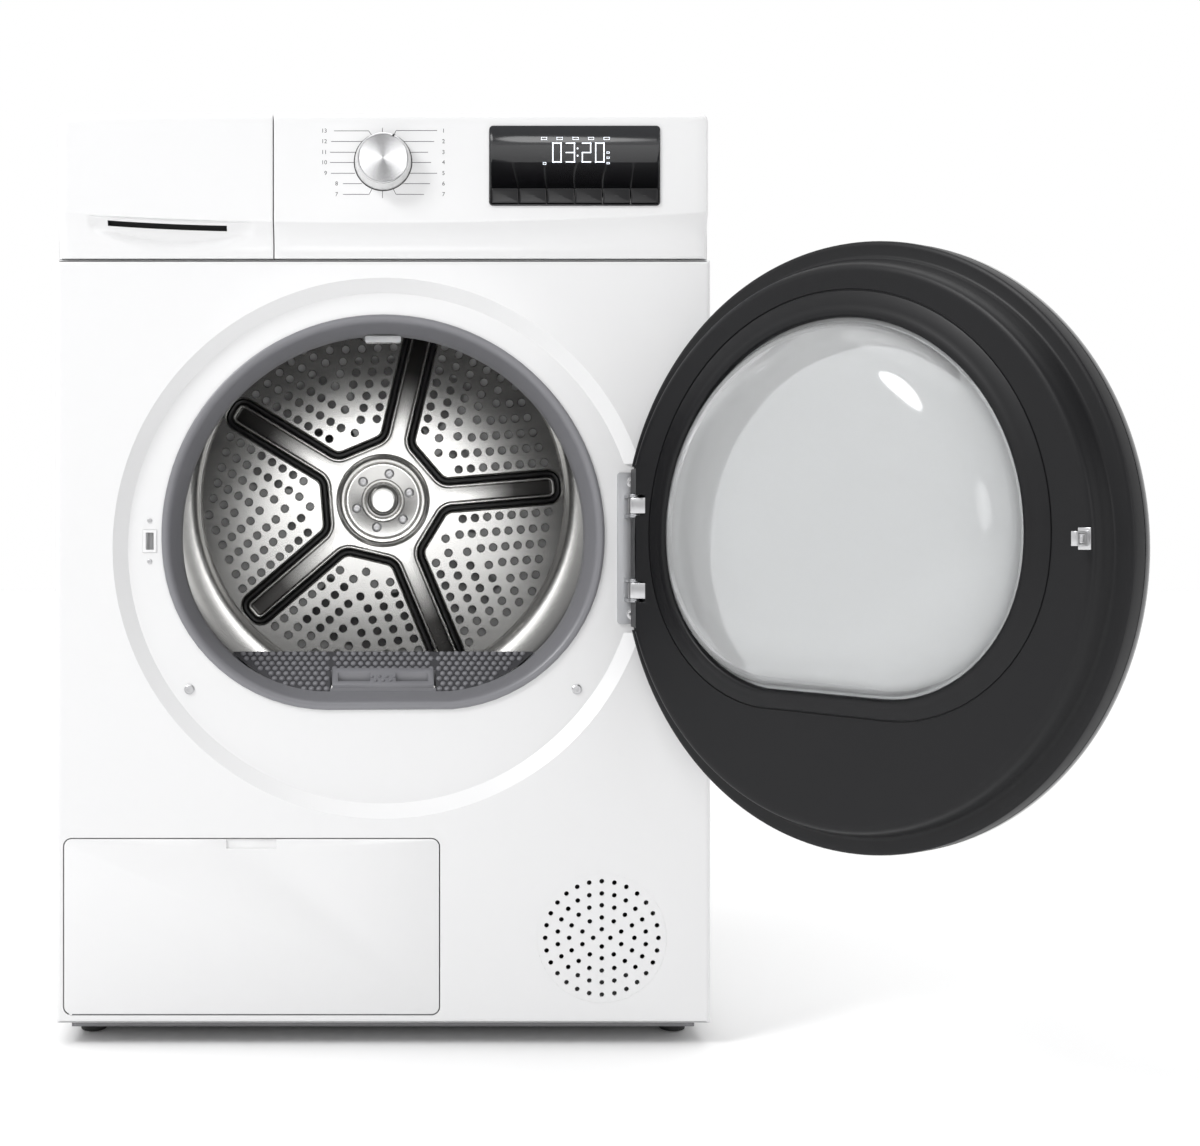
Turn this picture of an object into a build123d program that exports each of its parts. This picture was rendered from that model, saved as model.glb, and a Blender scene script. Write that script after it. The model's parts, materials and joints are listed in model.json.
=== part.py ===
"""Front-loading heat-pump clothes dryer, 595 mm wide, 846 mm high, with its door open.

Frame: millimetres, +Z up, +Y towards the rear, front face at y = FRONT_Y.
The origin is the centre of the four-foot pattern, on the floor.
"""
import math
import os

from build123d import *

os.makedirs("parts", exist_ok=True)

# ---------------------------------------------------------------- driving dimensions
WIDTH = 595.0          # across the side panels
HEIGHT = 846.0         # floor to worktop
FRONT_Y = -300.0       # outer face of the front panel
REAR_Y = 290.0         # outer face of the rear panel
PANEL_Z0 = 20.0        # lower edge of the front and side panels
SPLIT_Z = 713.5        # joint between front panel and control fascia
FASCIA_X = -99.0       # joint between tank drawer and control fascia
SHEET = 1.0            # steel sheet

DOOR_Z = 451.5         # centre of the round door and of its recess
RECESS_R, RECESS_FLOOR_R, RECESS_DEPTH = 245.4, 233.0, 10.0
HINGE_X, HINGE_F = 226.0, 15.0   # hinge axis: x, and distance in front of the front face
DOOR_REST_DEG = 126.5  # door opening angle at rest
DOOR_R = 238.0
ARM_DZ = 38.0          # hinge arms above and below the door centre
ARM_H = 14.0

OPEN_Z = 462.6         # centre of the loading opening's main arc
OPEN_R, OPEN_RC, OPEN_DROP = 202.3, 152.0, 158.7
GLASS_R, GLASS_RC, GLASS_DROP = 165.0, 115.0, 123.0

DRUM_Z = 509.0
DRUM_R = 285.0
DRUM_Y0, DRUM_Y1 = -232.0, 130.0     # cylindrical part
DISC_Y, DISC_R = 180.0, 219.0        # perforated rear disc
SHAFT_R = 10.0
BELT_Y0, BELT_Y1 = 58.0, 68.0
MOTOR_X, MOTOR_Z, PULLEY_R = 205.0, 130.0, 10.0
ROLLER_R, ROLLER_DEG = 20.0, 35.0
GAP = 0.3              # running gap between separate moving bodies

LATCH_X, LATCH_Z = -213.0, 458.0
KNOB_Z = 800.0
FOOT_X, FOOT_Y = 272.0, 244.0
FLAP = (-289.3, 50.8, 29.0, 187.8)   # x0, x1, z0, z1
GRILLE_X, GRILLE_Z, GRILLE_R = 198.5, 98.0, 58.7
TANK = (-287.0, -152.0, -262.5, 200.0, 766.0, 820.0)  # x0 x1 y0 y1 z0 z1


# ---------------------------------------------------------------- helpers
def at(f):
    """Plane parallel to the front, f mm in front of the front face; local x, y are X, Z."""
    return Plane(origin=(0, FRONT_Y - f, 0), x_dir=(1, 0, 0), z_dir=(0, -1, 0))


def place(obj, f):
    return at(f) * obj


def box(x0, x1, y0, y1, z0, z1):
    return Pos((x0 + x1) / 2, (y0 + y1) / 2, (z0 + z1) / 2) * Box(x1 - x0, y1 - y0, z1 - z0)


def fbox(x0, x1, f0, f1, z0, z1):
    return box(x0, x1, FRONT_Y - f1, FRONT_Y - f0, z0, z1)


def ycyl(x, z, r, y0, y1):
    return Pos(x, (y0 + y1) / 2, z) * Rot(90, 0, 0) * Cylinder(r, y1 - y0)


def zcyl(x, y, r, z0, z1):
    return Pos(x, y, (z0 + z1) / 2) * Cylinder(r, z1 - z0)


def rev(pts, zc, y_ref=FRONT_Y, x=0.0):
    """Revolve a closed (r, f) polygon about the axis parallel to Y; f is measured forward of y_ref."""
    face = make_face(Plane.XZ * Polyline(*pts, close=True))
    solid = revolve(face, Axis.Z, 360)
    return Pos(x, y_ref, zc) * Rot(90, 0, 0) * solid


def d_face(r, rc, drop, zc=OPEN_Z):
    """Round opening with a flattened bottom: main arc r, corner arcs rc, flat drop below the centre."""
    cy = rc - drop
    cx = math.sqrt((r - rc) ** 2 - cy ** 2)
    k = r / (r - rc)
    tx, ty = cx * k, cy * k
    a0 = math.atan2(ty - cy, tx - cx)
    am = (a0 - math.pi / 2) / 2
    mx, my = cx + rc * math.cos(am), cy + rc * math.sin(am)
    p = lambda u, v: (u, zc + v)
    w = Wire([
        Line(p(-cx, -drop), p(cx, -drop)).edge(),
        ThreePointArc(p(cx, -drop), p(mx, my), p(tx, ty)).edge(),
        ThreePointArc(p(tx, ty), p(0, r), p(-tx, ty)).edge(),
        ThreePointArc(p(-tx, ty), p(-mx, my), p(-cx, -drop)).edge(),
    ])
    return make_face(w)


def d_open(delta):
    return d_face(OPEN_R - delta, OPEN_RC - delta, OPEN_DROP - delta)


def d_glass(r):
    k = r / GLASS_R
    return d_face(r, GLASS_RC * k, GLASS_DROP * k)


def prism(face, f0, f1):
    return extrude(place(face, f0), f1 - f0)


def rrect(x0, x1, z0, z1, r):
    return Pos((x0 + x1) / 2, (z0 + z1) / 2) * RectangleRounded(x1 - x0, z1 - z0, r)


def hull_face(c1, r1, c2, r2):
    """Convex hull of two circles in the XZ plane, as a face in local coordinates."""
    (x1, z1), (x2, z2) = c1, c2
    d = math.hypot(x2 - x1, z2 - z1)
    base = math.atan2(z2 - z1, x2 - x1)
    off = math.acos((r1 - r2) / d)
    q = lambda c, r, a: (c[0] + r * math.cos(a), c[1] + r * math.sin(a))
    p1, p2 = q(c1, r1, base + off), q(c2, r2, base + off)
    p3, p4 = q(c2, r2, base - off), q(c1, r1, base - off)
    w = Wire([
        Line(p1, p2).edge(),
        ThreePointArc(p2, q(c2, r2, base), p3).edge(),
        Line(p3, p4).edge(),
        ThreePointArc(p4, q(c1, r1, base + math.pi), p1).edge(),
    ])
    return make_face(w)


def one(shape):
    """The shape as a plain list of solids in one compound."""
    s = shape.solids()
    return s[0] if len(s) == 1 else Compound(children=list(s))


made = {}


def save(name, *shapes):
    solids = [q for sh in shapes for q in sh.solids()]
    shape = solids[0] if len(solids) == 1 else Compound(children=solids)
    export_step(shape, f"parts/{name}.step")
    made[name] = shape


HX = WIDTH / 2

# ================================================================ cabinet
# base tray: moulded tray with foot bosses, flap hinge brackets and a service opening at the front left
FLAP_AX_F, FLAP_AX_Z = -6.5, 42.0     # flap hinge axis: distance in front of the front face, and height
tray = box(-288, 288, -270, 282, 9.0, 62) + box(-286, 286, -273, -269, 10.9, 24)
tray = chamfer([e for e in tray.edges().filter_by(Axis.Z) if e.center().Y < -272], 2.5)
tray -= box(-284, 284, -266, 278, 13, 70)
tray -= box(-284, 48, -280, -262, 24.5, 70)                    # service opening
for sx in (-1, 1):
    for sy in (-1, 1):
        tray += zcyl(sx * FOOT_X, sy * FOOT_Y, 11, 9, 34)
for sx in (-1, 1):
    for sy in (-1, 1):
        tray -= zcyl(sx * FOOT_X, sy * FOOT_Y, 4.3, 0, 90)
for xa, xb in ((FLAP[0] + 4.6, FLAP[0] + 10.6), (FLAP[1] - 10.6, FLAP[1] - 4.6)):
    pivot = Pos((xa + xb) / 2, FRONT_Y - FLAP_AX_F, FLAP_AX_Z) * Rot(0, 90, 0)
    tray += fbox(xa, xb, -31.0, FLAP_AX_F, FLAP_AX_Z - 3.4, FLAP_AX_Z + 3.4) + pivot * Cylinder(3.4, xb - xa)
    tray += box(xa, xb, -269.5, -263, 20, FLAP_AX_Z + 3.4)
    tray -= pivot * Cylinder(2.06, 12.0)
save("base_tray", tray)

# side panels: folded sheets with return flanges front and rear
for name, s in (("side_panel_left", -1), ("side_panel_right", 1)):
    x_out, x_in = s * HX, s * (HX - SHEET)
    xs = sorted((x_out, x_in))
    fl = sorted((x_out, s * (HX - 9.0)))
    p = box(xs[0], xs[1], -281.0, 289.0, PANEL_Z0, 826)
    p += box(fl[0], fl[1], 288.0, 289.0, PANEL_Z0, 826)
    p += box(fl[0], fl[1], -281.0, -280.0, PANEL_Z0, 826)
    save(name, p)

# front panel: pressed sheet with the door recess, loading opening, service opening and grille opening
fp = extrude(place(Pos(0, (PANEL_Z0 + SPLIT_Z) / 2) * RectangleRounded(WIDTH, SPLIT_Z - PANEL_Z0, 0.6), -18.0), 18.0)
fp = fillet([e for e in fp.edges().filter_by(Axis.Z) if e.center().Y < FRONT_Y + 1 and abs(e.center().X) > HX - 1.5], 5.0)
inside = fbox(-HX + SHEET, HX - SHEET, -30, -SHEET, PANEL_Z0 + SHEET, SPLIT_Z - SHEET)
fp -= fillet([e for e in inside.edges().filter_by(Axis.Z) if e.center().Y < FRONT_Y + 2], 4.2)
cone = rev([(0, 0.5), (RECESS_R + 0.6, 0.5), (RECESS_R, 0), (RECESS_FLOOR_R, -RECESS_DEPTH), (0, -RECESS_DEPTH)], DOOR_Z)
cone_out = rev([(0, -0.5), (RECESS_R + 2.0, -0.5), (RECESS_R + 2.0, -1.0), (RECESS_FLOOR_R + 1, -RECESS_DEPTH - 1), (0, -RECESS_DEPTH - 1)], DOOR_Z)
pocket = extrude(place(rrect(205, 251, DOOR_Z - 77, DOOR_Z + 77, 6), -RECESS_DEPTH), RECESS_DEPTH + 2)
pocket_out = extrude(place(rrect(204, 252, DOOR_Z - 78, DOOR_Z + 78, 7), -RECESS_DEPTH - 1), RECESS_DEPTH + 0.5)
fp = fp + cone_out + pocket_out
fp = fp - cone - pocket
fp -= prism(d_open(5.0), -14, 4)
fp -= prism(rrect(FLAP[0] - 1, FLAP[1] + 1, FLAP[2] - 1.3, FLAP[3] + 1, 8), -14, 4)
fp -= ycyl(GRILLE_X, GRILLE_Z, GRILLE_R + 0.1, FRONT_Y - 2, FRONT_Y + 6)
fp -= fbox(LATCH_X - 6.6, LATCH_X + 6.6, -14, 4, LATCH_Z - 10.6, LATCH_Z + 10.6)
save("front_panel", fp)

# round air-intake grille, 80 holes on five rings
g_face = Circle(GRILLE_R)
for n, rad in ((4, 7.8), (10, 18.5), (16, 29.6), (22, 40.3), (28, 51.4)):
    for k in range(n):
        a = 2 * math.pi * k / n
        g_face -= Pos(rad * math.sin(a), rad * math.cos(a)) * Circle(2.2)
grille = extrude(place(Pos(GRILLE_X, GRILLE_Z) * g_face, -2.2), 2.0)
save("intake_grille", grille)

# rear panel with air slots, drum bearing cover and inlet opening
rp = box(-293, 293, 289.0, 290.0, PANEL_Z0, 826)
for k in range(9):
    rp -= box(-240, -120, 285, 292, 90 + 14 * k, 96 + 14 * k)
    rp -= box(120, 240, 285, 292, 90 + 14 * k, 96 + 14 * k)
rp -= box(-300, 300, 285, 292, 752.8, 753.2)                  # joint between the lower sheet and the upper strip
rp -= box(-262.2, -227.8, 285, 292, 753.0, 830)               # gland plate between the two upper sheets
for x in (-283, 0, 283):
    for z in (40, 420, 810):
        rp -= ycyl(x, z, 4.1, 285, 292)
save("rear_panel", rp)

# worktop
top = Pos(0, 3.0, 836) * Box(WIDTH - 1, 574, 20)
top = fillet(top.edges().filter_by(Axis.Z), 8)
top = fillet(top.edges().group_by(Axis.Z)[-1], 3)
top -= box(-290, 290, -277, 283, 820, 842.5)
save("worktop", top)

# control fascia and tank drawer front share one front section
fascia_out = [(-15.5, 714.5), (0, 714.5), (-1, 722), (-1, 732), (3, 739.5), (8, 745), (8, 838), (6.5, 842.5), (2, 844.5), (-15.5, 844.5)]
fascia_in = [(-20, 717), (-3, 717), (-4, 722), (-4, 733), (0.8, 742), (5, 746.5), (5, 837.5), (4, 840.5), (1, 842), (-20, 842)]


def x_prism(pts, x0, x1):
    face = make_face(Polyline(*[(0, FRONT_Y - f, z) for f, z in pts], close=True))
    s = extrude(face, x1 - x0, dir=(1, 0, 0))
    return Pos(x0, 0, 0) * s


fa = x_prism(fascia_out, FASCIA_X + 0.5, 294.5) - x_prism(fascia_in, FASCIA_X + 3.0, 291.5)
fa -= fbox(97.1, 248.4, 0, 12, 761.7, 830.4)                 # display and key opening
fa -= ycyl(0, KNOB_Z, 3.4, FRONT_Y - 12, FRONT_Y + 4)        # knob spindle
save("control_fascia", fa)

# display window: gloss panel with a key strip opening
dw = prism(rrect(95.6, 249.9, 760.2, 832.4, 4), 8.0, 9.6)
dw += fbox(98.2, 247.3, 3.5, 8.0, 778.0, 829.8)
dw -= fbox(97.3, 248.2, 0, 12, 761.9, 776.1)
save("display_window", dw)
save("control_board", fbox(80, 265, -6.5, -4.9, 752, 838), fbox(150, 196, -4.9, 3.0, 790, 812), fbox(-16, 16, -6.5, -4.9, KNOB_Z - 16, KNOB_Z + 16))
KEY_W = (248.2 - 97.3) / 6
for k in range(6):
    x0 = 97.3 + k * KEY_W
    key = fbox(x0 + 0.35, x0 + KEY_W - 0.35, 1.0, 10.4, 762.3, 775.7)
    key = fillet([e for e in key.edges().filter_by(Axis.X) if e.center().Y < FRONT_Y - 10], 1.5)
    save(f"key_{k + 1}", key)

# selector knob
knob = rev([(0, 8.5), (25.4, 8.5), (25.4, 11.0), (24.2, 16), (22.6, 22.5), (21.8, 24.0), (0, 24.0)], KNOB_Z)
knob += ycyl(0, KNOB_Z, 3.0, FRONT_Y - 9, FRONT_Y + 2)
save("selector_knob", knob)

# ---------------------------------------------------------------- water tank drawer
df = x_prism(fascia_out, -294.5, FASCIA_X - 0.5) - x_prism(fascia_in, -291.5, FASCIA_X - 3.0)
df -= fbox(-250, -139, -8, 5.5, 741.5, 747.0)
df += fbox(-250, -139, -14.0, -12.0, 720, 800) - fbox(-240, -150, -16, -10, 722, 731)
df -= fbox(-246, -143, -2, 12, 736.0, 745.6)
df += fbox(-291.0, -100.0, -15.5, -13.5, 740, 841) - fbox(-246, -143, -20, -10, 730, 760)
save("tank_drawer_front", df)
tx0, tx1, ty0, ty1, tz0, tz1 = TANK
ty0 -= 22.0
# tub walls and a two-piece lid that leaves the filling mouth open across the tank
save("water_tank",
     box(tx0, tx1, ty0, ty1, tz0, tz0 + 2.5),
     box(tx0, tx0 + 2.5, ty0, ty1, tz0 + 2.5, tz1 - 2.5),
     box(tx1 - 2.5, tx1, ty0, ty1, tz0 + 2.5, tz1 - 2.5),
     box(tx0 + 2.5, tx1 - 2.5, ty0, ty0 + 2.5, tz0 + 2.5, tz1 - 2.5),
     box(tx0 + 2.5, tx1 - 2.5, ty1 - 2.5, ty1, tz0 + 2.5, tz1 - 2.5),
     box(tx0, tx1, ty0, 120.0, tz1 - 2.5, tz1),
     box(tx0, tx1, 170.0, ty1, tz1 - 2.5, tz1))

sl = box(-292, -146, -280, 230, 761.0, 763.0)
sl += box(-292, -290, -280, 230, 761.0, 825.0) + box(-149.0, -146.5, -280, 230, 761.0, 825.0)
sl += box(-292, -146.5, 228, 230, 761.0, 825.0)
save("tank_sleeve", sl)

# ================================================================ front bulkhead, bezel, lint duct
WELL = (-52.0, 52.0, -264.5, -241.5)    # filter well, outer x and y
bh = box(-286, 286, -262.0, -258.5, 205, 706)
bh += rev([(0, -38), (292, -38), (292, -41.5), (0, -41.5)], DRUM_Z) & box(-290, 290, -280, -240, 216, 752)
bh += rev([(261, -41), (265, -41), (265, -74), (261, -74)], DRUM_Z)
bh += rev([(0, -71), (265, -71), (265, -74), (0, -74)], DRUM_Z)
bh += prism(d_open(8.5), -74, -38)
bh -= prism(d_open(11.5), -90, -20)
bh -= box(WELL[0], WELL[1], WELL[2], WELL[3], 196, 330)
bh += box(WELL[0], WELL[1], WELL[2], WELL[3], 196, 314.0)
bh -= box(WELL[0] + 2, WELL[1] - 2, WELL[2] + 2, WELL[3] - 2, 198.5, 330)
for s in (-1, 1):
    rx = s * (DRUM_R + GAP + ROLLER_R) * math.sin(math.radians(ROLLER_DEG))
    rz = DRUM_Z - (DRUM_R + GAP + ROLLER_R) * math.cos(math.radians(ROLLER_DEG))
    bh += ycyl(rx, rz, 5.0, -259, -218.5)
save("front_bulkhead", bh)

# grey moulded bezel around the loading opening
bz = prism(d_open(0.0), -10.0, -7.2) + loft([place(d_open(5.4), -10.0), place(d_open(12.0), -36.5)])
bz -= loft([place(d_open(3.0), -7.1), place(d_open(7.8), -10.05)])
bz -= loft([place(d_open(7.8), -10.04), place(d_open(14.5), -36.6)])
save("opening_bezel", bz)

# perforated lint duct cover: a ramp from the bezel up to the drum mouth
ramp = make_face(Polyline((0, -263.0, 311.0), (0, -263.0, 318.6), (0, -226.5, 353.0), (0, -226.5, 311.0), close=True))
duct = extrude(ramp, 170, dir=(1, 0, 0), both=True) & prism(d_open(11.8), -75, -35)
inner = make_face(Polyline((0, -266.0, 300.0), (0, -266.0, 313.0), (0, -228.5, 348.5), (0, -228.5, 300.0), close=True))
duct -= (extrude(inner, 168, dir=(1, 0, 0), both=True) & prism(d_open(14.0), -80, -30))
duct -= box(-48.5, 48.5, -262.0, -244.0, 300, 360)
save("lint_duct_cover", duct)

# lint filter cassette: grip head with two pockets over a hollow screen box that drops into the well
lf = box(-47.5, 47.5, -261.0, -245.0, 202.0, 323.0)
head = make_face(Polyline((0, -261.0, 322.0), (0, -261.0, 324.5), (0, -245.0, 339.0), (0, -245.0, 322.0), close=True))
lf += extrude(head, 47.5, dir=(1, 0, 0), both=True)
lf -= box(-44, 44, -259.0, -247.0, 205, 320)
lf -= box(-42, -12, -257.5, -249.0, 319, 345) + box(12, 42, -257.5, -249.0, 319, 345)
save("lint_filter", lf)

save("drum_lamp_lens", prism(rrect(-17, 17, 645.0, 651.0, 2.0), -62.0, -50.0))

# latch in the recess floor, with its spring catch
lh = fbox(LATCH_X - 6.4, LATCH_X + 6.4, -34, -9.2, LATCH_Z - 10.4, LATCH_Z + 10.4)
lh -= fbox(LATCH_X - 3.6, LATCH_X + 3.6, -31, -5, LATCH_Z - 7.8, LATCH_Z + 7.8)
lh += fbox(LATCH_X - 8.6, LATCH_X + 8.6, -14.0, -11.0, LATCH_Z - 24, LATCH_Z + 24) - fbox(LATCH_X - 4, LATCH_X + 4, -18, -8, LATCH_Z - 9, LATCH_Z + 9)
save("latch_housing", lh)

# hinge bracket with two clevises, pins, and the visible screws
hb = fbox(213.6, 243.0, -RECESS_DEPTH, -8.0, DOOR_Z - 69, DOOR_Z + 69)
hb = fillet(hb.edges().filter_by(Axis.Y), 3)
pins = []
for s in (-1, 1):
    zc = DOOR_Z + s * ARM_DZ
    for e in (-1, 1):
        z_in = ARM_H / 2 + 0.4
        z0, z1 = sorted((zc + e * z_in, zc + e * (z_in + 3.0)))
        ear = fbox(HINGE_X - 6.0, HINGE_X + 6.0, -8.2, HINGE_F, z0, z1) + zcyl(HINGE_X, FRONT_Y - HINGE_F, 6.0, z0, z1)
        hb += ear
    hb -= zcyl(HINGE_X, FRONT_Y - HINGE_F, 3.0, zc - 12, zc + 12)
    pins.append(zcyl(HINGE_X, FRONT_Y - HINGE_F, 3.0, zc - ARM_H / 2 - 3.4, zc + ARM_H / 2 + 3.4))
save("hinge_bracket", hb)
save("hinge_pins", *pins)


def screw(x, z, f, r, head):
    s = rev([(0, f), (r, f), (r, f + head * 0.5), (r * 0.75, f + head), (0, f + head)], z, x=x)
    s -= fbox(x - r * 0.55, x + r * 0.55, f + head * 0.35, f + head + 1, z - r * 0.12, z + r * 0.12)
    s -= fbox(x - r * 0.12, x + r * 0.12, f + head * 0.35, f + head + 1, z - r * 0.55, z + r * 0.55)
    return s


screws = [screw(x, z, f, r, h) for x, z, f, r, h in (
    (-176.8, 322.7, -10, 4.6, 1.8), (176.8, 322.7, -10, 4.6, 1.8),
    (LATCH_X, LATCH_Z + 18.6, -10, 2.3, 0.9), (LATCH_X, LATCH_Z - 18.6, -10, 2.3, 0.9),
    (227.5, DOOR_Z + 60, -8, 5.2, 1.4), (227.5, DOOR_Z - 60, -8, 5.2, 1.4),
    (-268, 17.8, -27, 2.6, 1.2), (0, 17.8, -27, 2.6, 1.2), (268, 17.8, -27, 2.6, 1.2))]
screws += [ycyl(x, z, 4.0, 288.6, 289.9) for x in (-283, 0, 283) for z in (40, 420, 810)]
save("case_screws", *screws)

# ================================================================ drum
shell = rev([(269, 0), (DRUM_R, 0), (DRUM_R, -362), (278, -376), (252, -396), (226, -411), (DISC_R, -412), (DISC_R, -411),
             (225.6, -410), (251.4, -395.1), (277.3, -375.2), (DRUM_R - 1, -361.6), (DRUM_R - 1, -1), (269, -1)], DRUM_Z, y_ref=DRUM_Y0)
save("drum_shell", shell)
STAR0 = 13.3
HUB_R = 74.0
star = Circle(HUB_R)
for k in range(5):
    star += Rot(0, 0, -(STAR0 + 72 * k)) * (Pos(0, 112.0) * RectangleRounded(26.0, 200.0, 10.0))
sector_holes = []
disc = Circle(DISC_R)
for k in range(5):
    mid = math.radians(STAR0 + 36 + 72 * k)
    for rad, n in ((98, 5), (122, 7), (146, 9), (170, 11), (194, 13)):
        for i in range(n):
            a = mid + (i - (n - 1) / 2) * 18.0 / rad
            sector_holes.append((rad * math.sin(a), rad * math.cos(a)))
for hx, hz in sector_holes:
    disc -= Pos(hx, hz) * Circle(4.4)
pd = Plane(origin=(0, DISC_Y, DRUM_Z), x_dir=(1, 0, 0), z_dir=(0, -1, 0))
disc_solid = extrude(pd * disc, 1.0)
save("drum_disc", disc_solid)
star -= Circle(24.0)
star_solid = extrude(Plane(origin=(0, DISC_Y - 1.0, DRUM_Z), x_dir=(1, 0, 0), z_dir=(0, -1, 0)) * star, 3.0)
save("drum_star", star_solid)
shaft = ycyl(0, DRUM_Z, SHAFT_R, DISC_Y, DISC_Y + 52) + ycyl(0, DRUM_Z, 50, DISC_Y, DISC_Y + 4) + ycyl(0, DRUM_Z, 23.8, DISC_Y + 0.0, DISC_Y + 8)
save("drum_shaft", shaft)
hubs = []
for k in range(6):
    a = math.radians(STAR0 + 60 * k)
    hubs.append(ycyl(33 * math.sin(a), DRUM_Z + 33 * math.cos(a), 5.0, DISC_Y - 7.2, DISC_Y - 4.0))
save("hub_screws", *hubs)
lifters = []
for k in range(3):
    prof = make_face(Polyline((-22, 283.9), (22, 283.9), (13, 250), (8, 243), (-8, 243), (-13, 250), close=True))
    lf_ = extrude(Plane(origin=(0, 60, DRUM_Z), x_dir=(1, 0, 0), z_dir=(0, -1, 0)) * (Rot(0, 0, 60 + 120 * k) * prof), 240)
    lifters.append(lf_ & ycyl(0, DRUM_Z, DRUM_R - 1.15, -200, 80))
save("drum_lifters", *lifters)

# rear air duct, bearing
rd = ycyl(0, DRUM_Z, 240, 206, 209) + (ycyl(0, DRUM_Z, 240, 187, 209) - ycyl(0, DRUM_Z, 237, 186, 206))
rd += ycyl(0, DRUM_Z, 240, 187, 189)
# air openings in the front plate: (first angle, last angle, inner r, outer r), clockwise from the top
for a0, a1, r0, r1 in ((-62, -23.5, 80, 173), (-16.5, 38, 80, 173), (50, 110, 80, 117), (125, 150, 105, 175), (155, 215, 112, 180),
                       (-83, -66, 110, 160), (-118, -97, 80, 118)):
    angs = [math.radians(a0 + (a1 - a0) * i / 10) for i in range(11)]
    ring = [(r1 * math.sin(a), r1 * math.cos(a)) for a in angs] + [(r0 * math.sin(a), r0 * math.cos(a)) for a in reversed(angs)]
    rd -= extrude(Plane(origin=(0, 190, DRUM_Z), x_dir=(1, 0, 0), z_dir=(0, -1, 0)) * make_face(Polyline(*ring, close=True)), 4)
rd -= ycyl(0, DRUM_Z, 33, 180, 220)
ch = box(-110, 60, 209, 252, 70, 600) - box(-107, 57, 200, 249, 73, 597)
rd -= box(-100, 50, 200, 212, 575, 595) + box(-100, 50, 200, 212, 300, 440)
rd = rd + (ch - box(-100, 50, 190, 211, 76, 150)) - ycyl(0, DRUM_Z, 33, 190, 260)
save("rear_duct", rd)
brg = ycyl(0, DRUM_Z, 32.5, 206.5, 236) + box(-70, 70, 253, 257, DRUM_Z - 30, DRUM_Z + 30) + ycyl(0, DRUM_Z, 24, 236, 257)
brg += box(-70, -66, 253, 289.0, DRUM_Z - 30, DRUM_Z + 30) + box(66, 70, 253, 289.0, DRUM_Z - 30, DRUM_Z + 30)
brg -= ycyl(0, DRUM_Z, SHAFT_R + 0.05, 200, 246)
save("rear_bearing", brg)

# ================================================================ drive
mb = ycyl(MOTOR_X, MOTOR_Z, 58, 76, 190) - ycyl(MOTOR_X, MOTOR_Z, 6.1, 60, 200)
mb += box(MOTOR_X - 55, MOTOR_X + 55, 90, 110, 13, 80) + box(MOTOR_X - 55, MOTOR_X + 55, 155, 175, 13, 80)
mb -= ycyl(MOTOR_X, MOTOR_Z, 40, 79, 187)
rot = ycyl(MOTOR_X, MOTOR_Z, 6.0, 56, 236) + ycyl(MOTOR_X, MOTOR_Z, 30, 96, 170) + ycyl(MOTOR_X, MOTOR_Z, PULLEY_R, BELT_Y0 - 1, BELT_Y1 + 1)
rot += ycyl(MOTOR_X, MOTOR_Z, PULLEY_R + 2.5, BELT_Y0 - 3, BELT_Y0 - 1) + ycyl(MOTOR_X, MOTOR_Z, PULLEY_R + 2.5, BELT_Y1 + 1, BELT_Y1 + 3)
save("motor_rotor", rot)
fan = ycyl(MOTOR_X, MOTOR_Z, 18, 206, 238) + ycyl(MOTOR_X, MOTOR_Z, 62, 204, 207)
for k in range(12):
    fan += Pos(MOTOR_X, 222, MOTOR_Z) * Rot(0, 30 * k, 0) * Pos(38, 0, 0) * Box(46, 30, 2)
fan -= ycyl(MOTOR_X, MOTOR_Z, 6.0, 190, 245)
save("fan_wheel", fan)
fh = ycyl(MOTOR_X, MOTOR_Z, 72, 198, 246) - ycyl(MOTOR_X, MOTOR_Z, 68, 201, 250)
fh -= ycyl(MOTOR_X, MOTOR_Z, 12, 190, 205)
fh += box(MOTOR_X - 40, MOTOR_X + 40, 198, 246, 13, 66) - ycyl(MOTOR_X, MOTOR_Z, 70, 190, 250)
save("fan_housing", fh)
belt = extrude(Plane(origin=(0, BELT_Y1, 0), x_dir=(1, 0, 0), z_dir=(0, -1, 0)) *
               (hull_face((0, DRUM_Z), DRUM_R + 2.8, (MOTOR_X, MOTOR_Z), PULLEY_R + 2.8) - hull_face((0, DRUM_Z), DRUM_R + GAP, (MOTOR_X, MOTOR_Z), PULLEY_R + GAP)), BELT_Y1 - BELT_Y0)
save("drive_belt", belt)
# idler presses on the lower belt run from outside
d_c = math.hypot(MOTOR_X, MOTOR_Z - DRUM_Z)
b_ang = math.atan2(MOTOR_Z - DRUM_Z, MOTOR_X)
t_ang = b_ang - math.acos((DRUM_R - PULLEY_R) / d_c)
nx, nz = math.cos(t_ang), math.sin(t_ang)
IDLER_R = 15.0
mx_, mz_ = MOTOR_X - 85.0 * math.sin(-t_ang) * 1.0, 0.0
tx_p, tz_p = MOTOR_X + (PULLEY_R + 2.8) * nx, MOTOR_Z + (PULLEY_R + 2.8) * nz
ux, uz = -nz, nx
if ux > 0:
    ux, uz = -ux, -uz
IDLER_X = tx_p + 70 * ux + (IDLER_R + GAP) * nx
IDLER_Z = tz_p + 70 * uz + (IDLER_R + GAP) * nz
save("idler_pulley", ycyl(IDLER_X, IDLER_Z, IDLER_R, BELT_Y0, BELT_Y1) - ycyl(IDLER_X, IDLER_Z, 5.05, 50, 80))
mb += ycyl(IDLER_X, IDLER_Z, 5.0, 54, 76) + box(IDLER_X - 9, MOTOR_X - 22, 72, 76, IDLER_Z - 9, IDLER_Z + 9)
save("motor_body", mb)
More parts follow.
